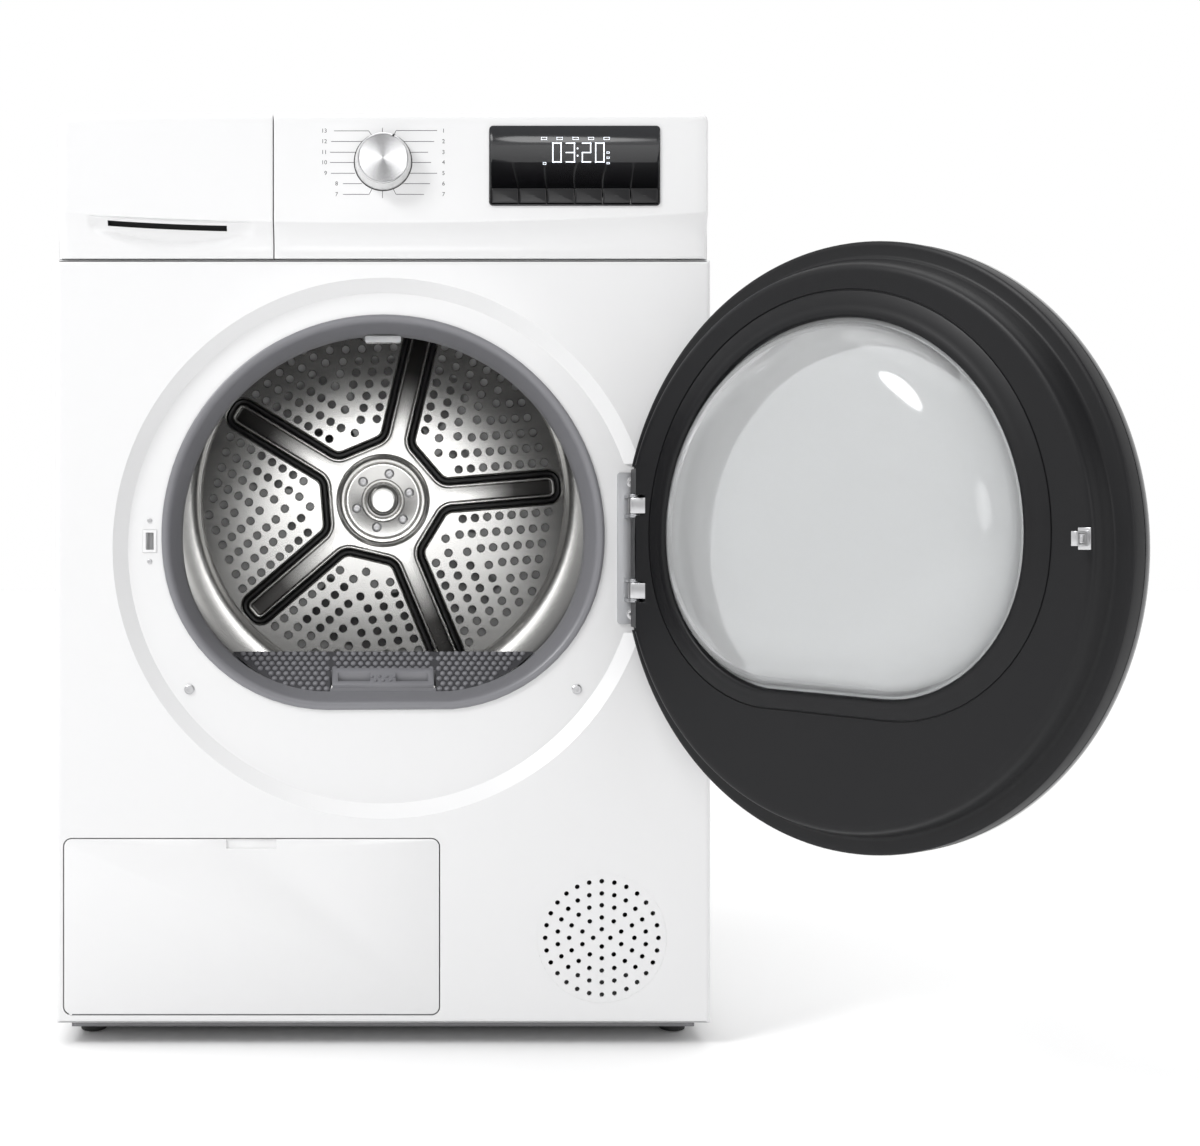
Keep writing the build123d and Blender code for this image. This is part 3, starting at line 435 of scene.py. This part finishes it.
def sector_holes():
    s36, c36 = math.sin(math.radians(36)), math.cos(math.radians(36))
    found = []
    for n in range(8):
        for k in range(-4, 14):
            u, v = 29.9 + 18.6 * n, 79.3 + 14.8 * (k - 0.36 * n)
            r = math.hypot(u, v)
            if r > 211 or u * s36 + v * c36 < 82.5:
                continue
            past = u * c36 - v * s36                  # signed distance past the sector bisector
            if past > 3.5:
                continue
            if past > -6.0:
                u, v = u - past * c36, v + past * s36
            found.append((u, v, past > -6.0))
    pts = []
    for k in range(5):
        t = math.radians(STAR0 + 72 * k)
        c, s = math.cos(t), math.sin(t)
        for u, v, mid in found:
            for sg in (1, -1):
                if mid and sg == -1:
                    continue
                q = (sg * u * c + v * s, DRUM_Z + v * c - sg * u * s)
                if all(math.hypot(q[0] - p[0], q[1] - p[1]) > 10.6 for p in pts):
                    pts.append(q)
    return pts


face = Shape()
holes = sector_holes()
loops = [circle(x, z, 4.7, 16) for x, z in holes]
face.sheet(circle(0, DRUM_Z, 217.5, 144), [star_loop(9.6)] + loops, -479.4, 0)
for x, z in holes:
    face.lathe([(5.3, -479.4), (5.0, -479.15), (4.7, -479.4), (4.4, -480.6)], x, z, 0, 16)
face.skin(star_loop, [(9.6, -479.4), (9.2, -478.2), (8.5, -477.7), (7.8, -478.2), (7.4, -479.4)], 0)
# groove floor: near-black painted shade for the depth of the groove
face.skin(star_loop, [(7.4, -479.4), (7.0, -482.4), (6.2, -484.4), (4.6, -485.0), (2.4, -485.0), (1.0, -484.2), (0.4, -482.0), (0.1, -480.0)], 1)
# star face and its edge: stainless with painted shade, darker towards the arm tips
face.skin(star_loop, [(0.1, -480.0), (-0.3, -478.0), (-1.0, -477.2), (-1.9, -476.8), (-2.8, -477.0), (-3.4, -477.8), (-3.8, -478.4)], 0)
face.skin(star_loop, [(-3.8, -478.4), (-4.6, -478.9), (-5.4, -479.0)], 2)
face.sheet(star_loop(-5.4), [circle(0, DRUM_Z, 54.0, 96)], -479.0, 2)
face.lathe([(56.5, -479.0), (55.2, -478.4), (54.0, -477.0)], 0, DRUM_Z, 0, 96)
face.lathe([(54.0, -477.0), (53.0, -475.9), (51.8, -475.7), (50.6, -476.8), (49.4, -479.0), (47.0, -479.2), (45.6, -477.4), (44.6, -475.8), (43.4, -475.4), (41.5, -475.9),
            (26.5, -475.9), (25.2, -476.4), (24.4, -478.2), (22.6, -478.4), (21.6, -476.2), (20.4, -474.5), (18.6, -474.2), (17.2, -475.2), (15.8, -476.2), (12.0, -476.4), (0.2, -476.4)], 0, DRUM_Z, 0, 96)
# slot 1 is the groove's painted shade, slot 2 the star's painted shade towards the arm tips
face.build("drum_face", [MAT["stainless"], GROOVE_PAINTED_SHADE, arm_metal_painted_shade()], "drum", ("drum_disc", "drum_star"), angle=38)

wall = Shape()
curve = [(284.0, -430.0), (283.2, -438.0), (280.5, -447.0), (275.5, -456.0), (268.0, -463.6), (258.0, -469.8), (246.5, -474.2), (234.0, -476.9), (226.0, -477.9), (222.6, -477.4), (220.6, -476.6), (218.9, -477.2), (217.5, -479.4)]
prof = [(269.4, -68.6), (271.5, -67.6), (282.0, -67.9), (284.0, -70.0), (284.0, -140.0), (283.2, -141.0), (283.2, -144.5), (284.0, -145.5), (284.0, -300.0), (283.2, -301.0), (283.2, -304.5), (284.0, -305.5)] + curve
prof = prof + [(r + 1.0, f - 1.0) for r, f in reversed(curve)] + [(285.0, -70.0), (284.0, -67.0), (269.4, -67.0)]
wall.lathe(prof, 0, DRUM_Z, 0, 192, loop=True)
wall.build("drum_wall", [MAT["stainless"]], "drum", ("drum_shell",), angle=40)

bolts = Shape()
for k in range(6):
    a = math.radians(STAR0 + 60 * k)
    x, z = 33 * math.sin(a), DRUM_Z + 33 * math.cos(a)
    bolts.lathe([(5.9, -476.0), (5.9, -475.2), (5.2, -474.8), (4.2, -474.7)], x, z, 0, 24)
    bolts.lathe([(4.4, -475.0), (4.4, -472.6), (3.9, -472.1), (2.6, -472.0), (2.4, -473.0), (0.1, -473.2)], x, z, 0, 6)
bolts.build("hub_bolts", [MAT["zinc_screw"]], "drum", ("hub_screws",))

# ------------------------------------------------------------------ bezel and perforated ledge
bz = Shape()
bz.skin(d_open, [(5.4, -10.3), (0.1, -10.0), (0.0, -8.8), (0.6, -7.8), (1.7, -7.25), (3.2, -7.2), (4.8, -7.7), (6.4, -8.9), (7.6, -10.6), (8.8, -14.5), (10.4, -20.5),
                 (12.2, -27.5), (13.6, -33.0), (14.3, -36.0), (14.0, -36.7), (12.6, -36.7), (10.6, -30.0), (8.0, -20.0), (5.6, -10.8)], 0, loop=True)
bz.build("opening_ring", [MAT["bezel_grey"]], "cabinet", ("opening_bezel",))

led = Shape()
dl = d_open(12.6)
ramp_y = lambda z: -263.0 + 36.5 * (z - 318.6) / 34.4


def ramp(x, s, lift=0.0):
    """Point on the ramp, s from 0 at the front edge to 1 at the top edge."""
    y = -263.0 + 36.5 * s - lift * 0.686
    z = 318.6 + 34.4 * s + lift * 0.728
    return x, -300 - y, z


def half_width(z):
    zz = z - OPEN_Z
    r, rc, drop = OPEN_R - 13.2, OPEN_RC - 13.2, OPEN_DROP - 13.2
    cy = rc - drop
    cx = math.sqrt((r - rc) ** 2 - cy ** 2)
    return cx + math.sqrt(max(rc ** 2 - (zz - cy) ** 2, 1.0))


def ledge_side(s):
    rows = []
    for i in range(13):
        t = i / 12
        hw = half_width(318.6 + 34.4 * t)
        rows.append([P(*ramp(s * (49.2 + (hw - 49.2) * j / 20), t)) for j in range(21)])
    low = [P(s * (49.2 + (half_width(318.6) - 49.2) * j / 20), -37.4, 312.0) for j in range(21)]
    mid = [P(s * (49.2 + (half_width(318.6) - 49.2) * j / 20), -37.0, 318.0) for j in range(21)]
    back = [P(s * (49.2 + (half_width(353.0) - 49.2) * j / 20), -75.5, 352.4) for j in range(21)]
    back2 = [P(s * (49.2 + (half_width(353.0) - 49.2) * j / 20), -76.0, 340.0) for j in range(21)]
    led.rings([low, mid] + rows[:1], 0, closed=False)
    led.rings(rows, 1, closed=False)
    led.rings([rows[-1], back, back2], 0, closed=False)
    led.rings([[r[0] for r in [low, mid] + rows + [back]], [q[0] + Vector((-s * 0.0006, 0, -0.012)) for q in [low, mid] + rows + [back]]], 0, closed=False)


for s in (-1, 1):
    ledge_side(s)
led.block(-49.2, 49.2, -38.0, -36.4, 311.5, 321.5, 0)
ctr = [[P(*ramp(-49.2 + 98.4 * j / 20, t)) for j in range(21)] for t in (0.53, 0.65, 0.78, 0.9, 1.0)]
low_c = [P(-49.2 + 98.4 * j / 20, -56.4, 322.0) for j in range(21)]
led.rings([low_c, ctr[0]], 0, closed=False)
led.rings(ctr, 1, closed=False)


def bump(m, x, s, r=2.75, h=2.0, n=12):
    rings = []
    for rr, hh in ((1.0, -0.2), (0.92, 0.45), (0.66, 0.85), (0.3, 1.0), (0.02, 1.02)):
        ring = []
        for j in range(n):
            a = 2 * math.pi * j / n
            px, pf, pz = ramp(x + r * rr * math.cos(a), s + r * rr * math.sin(a) / 50.2, h * hh)
            ring.append(P(px, pf, pz))
        rings.append(ring)
    m.rings(rings, 0)


for s in (-1, 1):
    for row in range(8):
        t = 0.055 + 0.127 * row
        z = 318.6 + 34.4 * t
        hw = half_width(z) - 4.0
        x = 52.6 + (3.5 if row % 2 else 0.0)
        while x < hw:
            bump(led, s * x, t)
            x += 7.0
for row in range(4, 8):
    t = 0.055 + 0.127 * row
    x = 0.0 if row % 2 else 3.5
    while x < 49:
        for sx in ((-1, 1) if x else (1,)):
            bump(led, sx * x, t)
        x += 7.0
led.build("perforated_ledge", [MAT["bezel_grey"], LEDGE_DARK], "cabinet", ("lint_duct_cover",), angle=40)
tabs = Shape()
for row, xs in ((0, (-7.0, 0, 7.0)), (1, (-10.5, -3.5, 3.5, 10.5))):
    for x in xs:
        yy, zz = (-253.4, 331.4) if row else (-257.0, 328.2)
        rings = []
        for rr, hh in ((1.0, -0.3), (0.9, 0.5), (0.6, 0.9), (0.05, 1.05)):
            rings.append([Vector(((x + 1.8 * rr * math.cos(a)) / 1000, (yy + 1.8 * rr * math.sin(a) * 0.74 - 0.67 * 1.4 * hh) / 1000,
                                  (zz + 1.8 * rr * math.sin(a) * 0.67 + 0.74 * 1.4 * hh) / 1000)) for a in [2 * math.pi * j / 12 for j in range(12)]])
        tabs.rings(rings, 0)
tabs.build("filter_grip_dots", [MAT["bezel_grey"]], "filter")

# ------------------------------------------------------------------ control fascia and tank drawer front


def crease(x):
    return 745.5 + 9.8 * (x / 297.0) ** 2


def surf(x, z, scoop):
    zc = crease(x)
    pts = [(714.4, -0.6), (716.0, -0.1), (719.0, -0.7)] + [(722.0 + (zc - 722.7) * u, -1.0 + 8.8 * u ** 1.9) for u in (0.0, 0.2, 0.4, 0.55, 0.7, 0.8, 0.9, 0.96, 1.0)] + [(zc + 0.2, 8.05), (zc + 2.5, 8.0), (838.0, 8.0), (841.0, 7.2), (843.4, 5.4), (844.6, 2.6), (844.8, -0.5)]
    f = pts[0][1] if z <= pts[0][0] else pts[-1][1]
    for (z0, f0), (z1, f1) in zip(pts, pts[1:]):
        if z0 <= z <= z1:
            f = f0 + (f1 - f0) * (z - z0) / max(z1 - z0, 1e-6)
            break
    if scoop and -266 < x < -118 and z < zc - 1.0:
        u = (x + 192.0) / 74.0
        low = 721.0 + 9.0 * u * u + 7.0 * max(0.0, -u)
        if z > low:
            w = min(1.0, (z - low) / 10.0)
            f -= 6.0 * (1 - u * u) ** 0.6 * w * w * (3 - 2 * w)
    return f


def fascia(name, x0, x1, r0, r1, replace, body, window=None, slot_x=None, scoop=False):
    edge = lambda d, r: (r - math.sqrt(max(r * r - (r - min(d, r)) ** 2, 0)))
    xs = sorted(set([x0, x0 + r0 * 0.06, x0 + r0 * 0.2, x0 + r0 * 0.45, x0 + r0, x1, x1 - r1 * 0.06, x1 - r1 * 0.2, x1 - r1 * 0.45, x1 - r1]
                    + [x0 + r0 + (x1 - x0 - r0 - r1) * i / 70 for i in range(71)]
                    + (list(window[:2]) if window else []) + (list(slot_x) if slot_x else [])))
    rel = [-8.6, -7.8, -6.2, -4.6, -4.0, -3.0, -1.8, -0.9, -0.3, 0.4, 1.5]
    low = [714.4, 715.2, 716.0, 717.5, 719.0, 721.5, 724.0, 726.5, 729.0, 731.0, 733.0]
    high = [760.0, window[2] if window else 764.0, 790.0, window[3] if window else 828.0, 834.0, 838.0, 839.6, 841.0, 842.3, 843.4, 844.2, 844.6, 844.8]
    cols = []
    for x in xs:
        zc = crease(x)
        zs = low + [733.0 + (zc - 8.6 - 733.0) * i / 4 for i in range(1, 4)] + [zc + r for r in rel] + high
        e = max(edge(x - x0, r0), edge(x1 - x, r1))
        col = [P(x, surf(x, z, scoop) - e, z - (e * 0.55 if z > 838 else 0)) for z in zs]
        col = [P(x, -15.4, 714.4)] + col + [P(x, -15.4, 844.8 - e * 0.55)]
        cols.append(col)
    n = len(cols[0])
    i_slot = (1 + len(low) + 3, 1 + len(low) + 3 + 4)
    i_win = (1 + len(low) + 3 + len(rel) + 1, 1 + len(low) + 3 + len(rel) + 3)
    sh = Shape()
    faces = []
    for i in range(len(cols) - 1):
        xa, xb = xs[i], xs[i + 1]
        for j in range(n - 1):
            if window and xa >= window[0] - 1e-6 and xb <= window[1] + 1e-6 and i_win[0] <= j < i_win[1]:
                continue
            if slot_x and xa >= slot_x[0] - 1e-6 and xb <= slot_x[1] + 1e-6 and i_slot[0] <= j < i_slot[1]:
                continue
            faces.append((i * n + j, (i + 1) * n + j, (i + 1) * n + j + 1, i * n + j + 1))
    sh.add([p for c in cols for p in c], faces, 0)
    for c in (cols[0], cols[-1]):                      # end walls
        sh.rings([c, [Vector((p.x, -0.2846, p.z)) for p in c]], 0, closed=False)
    if window:
        a, b, c, d = window
        lp = [(a, c), (b, c), (b, d), (a, d)]
        sh.rings([[P(x, 8.0, z) for x, z in lp], [P(x, -1.6, z) for x, z in lp]], 1)
        sh.cap(lp, -1.6, 1)
    if slot_x:
        ia, ib = i_slot
        top = [cols[i][ib] for i in range(len(xs)) if slot_x[0] - 1e-6 <= xs[i] <= slot_x[1] + 1e-6]
        bot = [cols[i][ia] for i in range(len(xs)) if slot_x[0] - 1e-6 <= xs[i] <= slot_x[1] + 1e-6]
        rim = bot + top[::-1]
        deep = [p + Vector((0, 0.010, 0.001 if k >= len(bot) else -0.001)) for k, p in enumerate(rim)]
        sh.rings([rim, deep], 1)
        sh.add(deep, [tuple(range(len(deep)))], 1)
    return sh.build(name, [MAT["white_plastic"], DARK], body, replace, angle=24)


fascia("control_face", -98.5, 294.5, 0.8, 7.0, ("control_fascia",), "cabinet", window=(97.1, 248.4, 761.7, 830.4))
fascia("drawer_face", -294.5, -99.5, 7.0, 0.8, ("tank_drawer_front",), "tank_drawer", slot_x=(-249.4, -141.5), scoop=True)

# ------------------------------------------------------------------ selector knob
kb = Shape()
kb.lathe([(26.4, 8.02), (26.4, 8.3), (25.6, 8.3)], 0, 800, 2, 96)
kb.build("knob_shadow_ring", [MAT["white_plastic"], DARK, DARK], "cabinet")
kb = Shape()
kb.lathe([(24.6, 8.6), (25.4, 9.0), (25.5, 10.2), (25.3, 12.0), (24.6, 15.5), (23.8, 19.5), (23.2, 22.0), (22.9, 22.9)], 0, 800, 1, 128)
kb.lathe([(22.9, 22.9), (22.5, 23.7), (21.9, 24.1), (21.5, 24.0), (21.3, 23.7)], 0, 800, 0, 128)
kb.lathe([(21.3, 23.7), (20.9, 23.7), (10.0, 23.55), (0.05, 23.5)], 0, 800, 0, 128)
a = math.radians(25)
for w, r0, r1, f0, f1 in ((0.9, 22.2, 25.0, 14.0, 24.25),):
    d, t = (math.sin(a), math.cos(a)), (math.cos(a), -math.sin(a))
    q = [P(r * d[0] + s * w * t[0], f, 800 + r * d[1] + s * w * t[1]) for r, f in ((25.35, 12.5), (23.6, 22.6), (22.3, 24.35), (20.6, 24.2)) for s in (-1, 1)]
    q = [p + Vector((0, -0.0002, 0)) for p in q]
    kb.add(q, [(0, 1, 3, 2), (2, 3, 5, 4), (4, 5, 7, 6)], 2)
kb.build("knob_body", [MAT["knob_metal"], RING_WHITE, DARK], "knob", ("selector_knob",), angle=30, origin=P(0, 8.5, 800))

# leader lines and plain numbers round the knob
ink = Shape()


def line(pts, w=0.5, f=8.0):
    for (xa, za), (xb, zb) in zip(pts, pts[1:]):
        dx, dz = xb - xa, zb - za
        L = math.hypot(dx, dz)
        nx, nz = -dz / L * w / 2, dx / L * w / 2
        c = [(xa + nx, za + nz), (xb + nx, zb + nz), (xb - nx, zb - nz), (xa - nx, za - nz)]
        ink.rings([[P(x, f - 0.02, z) for x, z in c], [P(x, f + 0.05, z) for x, z in c]], 0)
        ink.cap(c, f + 0.05, 0)


X = lambda px: (px - 383) / 1.1086
Z = lambda py: 451.7 + (548 - py) / 1.1086
for py, pts in ((130.9, [(334, 0), (368.6, 0), (371.6, 4.2)]), (141.5, [(331, 0), (362, 0)]), (152.3, [(330, 0), (356, 0)]), (162.5, [(330, 0), (354, 0)]), (173.3, [(331, 0), (355, 0)]),
                (183.7, [(343, 0), (362, 0)]), (194.4, [(343, 0), (369, 0), (371.8, -5.1)])):
    line([(X(a), Z(py + b)) for a, b in pts])
for py, pts in ((130.6, [(437, 0), (396, 0), (394, 4.4)]), (141.5, [(434, 0), (403, 0)]), (152.3, [(428, 0), (408, 0)]), (162.5, [(431, 0), (411, 0)]), (173.3, [(437, 0), (409.5, 0)]),
                (183.7, [(430, 0), (403, 0)]), (194.4, [(424, 0), (396, 0), (393.3, -5.1)])):
    line([(X(a), Z(py + b)) for a, b in pts])
line([(X(382.4), Z(128)), (X(382.4), Z(133.4))])
line([(X(382.4), Z(191)), (X(382.4), Z(198))])


def number(txt, x, z, h, f, align="CENTER", depth=0.00004):
    c = bpy.data.curves.new("num", "FONT")
    c.body, c.size, c.align_x, c.align_y, c.extrude = txt, h / 1000 * 1.45, align, "CENTER", depth
    o = bpy.data.objects.new("num", c)
    scene.collection.objects.link(o)
    o.rotation_euler = (math.pi / 2, 0, 0)
    o.location = P(x, f, z)
    bpy.context.view_layer.update()
    me = o.to_mesh()
    v = [o.matrix_world @ q.co for q in me.vertices]
    fs = [tuple(p.vertices) for p in me.polygons]
    o.to_mesh_clear()
    bpy.data.objects.remove(o)
    return v, fs


for i, py in enumerate((130.9, 141.5, 152.3, 162.5, 173.3, 183.7, 194.4)):
    v, fs = number(str(13 - i), X(327 if i < 5 else 338), Z(py), 3.6, 8.0, "RIGHT")
    ink.add(v, fs, 0)
    v, fs = number(str(1 + i), X(442), Z(py), 3.6, 8.0, "LEFT")
    ink.add(v, fs, 0)
ink.build("dial_marks", [INK], "cabinet", recalc=False, merge=1e-9)

# ------------------------------------------------------------------ display and keys
ds = Shape()
win = lambda d: rrect(95.6 + d, 249.9 - d, 760.2 + d, 832.4 - d, max(3.6 - d, 0.4))
ds.skin(win, [(0.3, 7.0), (0.0, 8.1), (0.0, 9.0), (0.25, 9.45), (0.7, 9.6)], 0)
ds.sheet(win(0.7), [rrect(97.5, 248.0, 762.0, 776.0, 0.5, 2)], 9.6, 0)
hole = rrect(97.5, 248.0, 762.0, 776.0, 0.5, 2)
ds.rings([[P(x, 9.6, z) for x, z in hole], [P(x, 1.5, z) for x, z in hole]], 0)
# display pane: colour lighter towards the top, a painted reflection of the bright overhead
ds.build("display_pane", [shaded("display_painted_reflection", ((0.004, 0.004, 0.005), (0.030, 0.031, 0.034)), 0.12, coat=0.3, axis="Z", lo=0.79, hi=0.84)], "cabinet", ("display_window",))
KW = (248.2 - 97.3) / 6
for k in range(6):
    x0 = 97.3 + k * KW + 0.4
    x1 = x0 + KW - 0.8
    ky = Shape()
    ks = lambda d: rrect(x0 + d, x1 - d, 762.4 + d, 775.6 - d, max(1.0 - d, 0.2), 4)
    ky.skin(ks, [(0.2, 1.2), (0.0, 2.0), (0.0, 9.2), (0.25, 10.0), (0.8, 10.35), (1.6, 10.45)], 0)
    ky.cap(ks(1.6), 10.45, 0)
    ky.cap(ks(0.2), 1.2, 0)
    c = (x0 + x1) / 2
    ky.block(c - 1.6, c + 1.6, 10.3, 10.5, 768.7, 769.1, 1)
    ky.build("push_key_%d" % (k + 1), [MAT["display_black"], INK], "key%d" % (k + 1), ("key_%d" % (k + 1),))

SEG = {"0": "abcdef", "3": "abcdg", "2": "abged"}
dg = Shape()


def digit(ch, x, z, w, h, t=1.15):
    on = SEG[ch]
    mid = z + h / 2
    q = {"a": (x, x + w, z + h - t, z + h), "g": (x, x + w, mid - t / 2, mid + t / 2), "d": (x, x + w, z, z + t), "f": (x, x + t, mid, z + h), "e": (x, x + t, z, mid),
         "b": (x + w - t, x + w, mid, z + h), "c": (x + w - t, x + w, z, mid)}
    for s in on:
        a, b, c, d = q[s]
        dg.block(a + 0.12, b - 0.12, 9.55, 9.68, c + 0.12, d - 0.12, 0)


for i, ch in enumerate("0320"):
    digit(ch, 152.4 + i * 12.0 + (2.6 if i > 1 else 0), 799.0, 8.6, 18.0)
for zz in (804.5, 811.0):
    dg.block(174.6, 175.9, 9.55, 9.68, zz, zz + 1.4, 0)
XD = lambda px: (px - 383) / 1.1098
ZD = lambda py: 451.7 + (548 - py) / 1.1098
for px, py, w, h in ((544, 138.5, 5.2, 2.4), (559.5, 138.5, 5.2, 2.4), (575.5, 138.5, 5.2, 2.4), (591, 138.5, 5.2, 2.4), (606.5, 138.5, 5.2, 2.4), (608, 152.6, 2.6, 1.6), (608, 157.8, 2.6, 1.6),
                     (608, 163.2, 2.6, 1.6), (544.5, 163.5, 2.8, 2.2)):
    x, z = XD(px), ZD(py)
    for a, b, c, d in ((x - w / 2, x + w / 2, z + h / 2 - 0.3, z + h / 2), (x - w / 2, x + w / 2, z - h / 2, z - h / 2 + 0.3), (x - w / 2, x - w / 2 + 0.3, z - h / 2, z + h / 2), (x + w / 2 - 0.3, x + w / 2, z - h / 2, z + h / 2)):
        dg.block(a, b, 9.55, 9.66, c, d, 0)
dg.build("display_digits", [LIT], "cabinet")

# ------------------------------------------------------------------ door, drawn closed and turned to its rest angle
fr = Shape()
plateau = [(237.6, 24.0), (237.8, 13.0), (237.3, 10.8), (236.0, 9.9), (233.8, 9.7), (227.0, 9.8), (225.0, 9.3), (223.6, 7.8), (221.4, 1.0), (219.6, -3.4), (218.4, -5.2), (216.4, -6.2), (213.5, -6.5), (209.5, -6.2)]
fr.lathe_gap(plateau, DOOR_Z, 73.2)
fr.cad_band("door_frame", 73.2, 191.0)
line_d = lambda r: d_glass(r)
edge_x = math.sqrt(209.5 ** 2 - 73.2 ** 2)
g0 = math.asin(73.2 / 209.5)
rim = [(209.5 * math.cos(g0 + (2 * math.pi - 2 * g0) * j / 180), DOOR_Z + 209.5 * math.sin(g0 + (2 * math.pi - 2 * g0) * j / 180)) for j in range(181)]
fr.sheet(rim + [(191.0, DOOR_Z - 73.2), (191.0, DOOR_Z + 73.2)], [d_glass(189.0)], -6.2, 0)
fr.skin(d_glass, [(189.0, -6.2), (188.6, -5.2), (187.8, -5.2), (187.4, -6.0), (186.6, -6.4), (178.0, -6.8), (174.5, -7.6), (172.0, -8.2), (169.6, -8.2), (168.0, -7.3), (167.2, -5.6), (167.0, -1.5)], 0)
fr.build("door_inner_ring", [MAT["door_black"]], "door", ("door_frame",), angle=36, turn=True)

cv = Shape()
cover = [(237.8, 24.0), (238.0, 25.0), (238.0, 28.6), (237.2, 30.8), (235.4, 32.8), (232.4, 34.8), (227.0, 37.0), (220.0, 39.2), (212.0, 41.0), (202.0, 42.4), (191.0, 43.0), (180.0, 42.6), (172.0, 41.8), (167.0, 40.6), (165.2, 40.4),
         (164.2, 41.0), (163.4, 42.4), (162.2, 43.2), (160.6, 43.2), (159.2, 42.2), (158.5, 40.2), (158.4, 37.2)]
back = [(158.4, 37.2), (160.0, 35.0), (172.0, 37.6), (190.0, 40.2), (210.0, 38.4), (226.0, 34.0), (234.0, 29.0), (235.4, 24.2), (237.8, 24.0)]
cut = 11
cv.lathe_gap(cover[:cut], DOOR_Z, 73.2)
cv.lathe(cover[cut - 1:], 0, DOOR_Z, 0, 192)
cv.lathe(back[:4], 0, DOOR_Z, 0, 192)
cv.lathe_gap(back[3:], DOOR_Z, 73.2)
cv.cad_band("door_cover", 73.2, 176.0)
cv.build("door_outer_ring", [MAT["door_gloss"]], "door", ("door_cover",), angle=36, turn=True)

gl = Shape()
out = [(176.0, -3.0), (164.6, -3.2), (164.0, -3.8), (163.2, -8.0), (161.4, -12.0), (158.0, -17.0), (153.0, -22.0), (148.0, -26.4), (142.0, -30.2), (134.0, -33.6), (126.0, -35.9), (116.0, -37.8), (106.0, -38.8), (98.0, -39.0)]
inn = [(97.0, -35.0), (106.0, -34.7), (116.0, -33.5), (124.0, -32.0), (132.0, -29.6), (139.0, -26.5), (145.0, -22.8), (149.5, -19.4), (154.0, -15.0), (157.2, -10.4), (159.0, -5.0), (160.0, 0.9), (176.0, 1.0)]
gl.skin(d_glass, out, 0)
gl.cap(d_glass(98.0), -39.0, 0)
gl.skin(d_glass, inn, 0)
gl.cap(d_glass(97.0), -35.0, 0)
gl.skin(d_glass, [(176.0, 1.0), (176.0, -3.0)], 0)
gl.build("door_bowl", [MAT["clear_glass"]], "door", ("door_glass_bowl",), angle=30, turn=True)

pane = Shape()
pane.lathe([(0.1, 34.0), (170.2, 34.0), (170.9, 34.5), (171.0, 36.4), (170.4, 37.0), (0.1, 37.0)], 0, DOOR_Z, 0, 160)
pane.build("door_pane", [MAT["clear_glass"]], "door", ("door_window",), angle=30, turn=True)

# ------------------------------------------------------------------ stage, light, camera
bpy.ops.mesh.primitive_plane_add(size=30, location=(0, 0, -0.0005))
floor = bpy.context.active_object
floor.name = "floor"
floor.data.materials.append(material("floor_pale", (0.93, 0.93, 0.93), 0.6, noise=0.02))

world = bpy.data.worlds.new("studio")
scene.world = world
world.use_nodes = True
nt = world.node_tree
bg = nt.nodes["Background"]
bg.inputs[0].default_value = (1, 1, 1, 1)
tc = nt.nodes.new("ShaderNodeTexCoord")
sp = nt.nodes.new("ShaderNodeSeparateXYZ")
mr = nt.nodes.new("ShaderNodeMapRange")
mr.inputs["From Min"].default_value, mr.inputs["From Max"].default_value = -0.75, 0.15
mr.inputs["To Min"].default_value, mr.inputs["To Max"].default_value = 0.30, 1.0
nt.links.new(tc.outputs["Generated"], sp.inputs[0])
nt.links.new(sp.outputs["Y"], mr.inputs["Value"])
nt.links.new(mr.outputs[0], bg.inputs[1])


def area(name, loc, target, size, power):
    l = bpy.data.lights.new(name, "AREA")
    l.shape, l.size, l.energy = "DISK", size, power
    o = bpy.data.objects.new(name, l)
    scene.collection.objects.link(o)
    o.location = loc
    o.rotation_euler = (Vector(target) - Vector(loc)).to_track_quat("-Z", "Y").to_euler()
    return o


area("key", (-2.0, -1.7, 2.5), (0.0, -0.3, 0.45), 1.0, 52)
area("fill", (1.9, -2.4, 0.9), (0.1, -0.3, 0.45), 1.5, 6)
area("drum_light", (0.0, -3.2, 0.95), (0.0, 0.0, 0.5), 0.9, 9)
sun = bpy.data.lights.new("overhead", "SUN")
sun.energy, sun.angle = 1.0, 1.0
sun_o = bpy.data.objects.new("overhead", sun)
scene.collection.objects.link(sun_o)
sun_o.location = (0, 0, 4)
scene.view_settings.view_transform = "Standard"

cam_data = bpy.data.cameras.new("camera")
cam = bpy.data.objects.new("camera", cam_data)
scene.collection.objects.link(cam)
cam.location = (0.0, -1.748, 0.4517)
cam.rotation_euler = (math.pi / 2, 0, 0)
cam_data.lens, cam_data.sensor_width = 47.9, 36
cam_data.shift_x, cam_data.shift_y = 0.1808, -0.0208
cam_data.clip_start = 0.01
scene.camera = cam
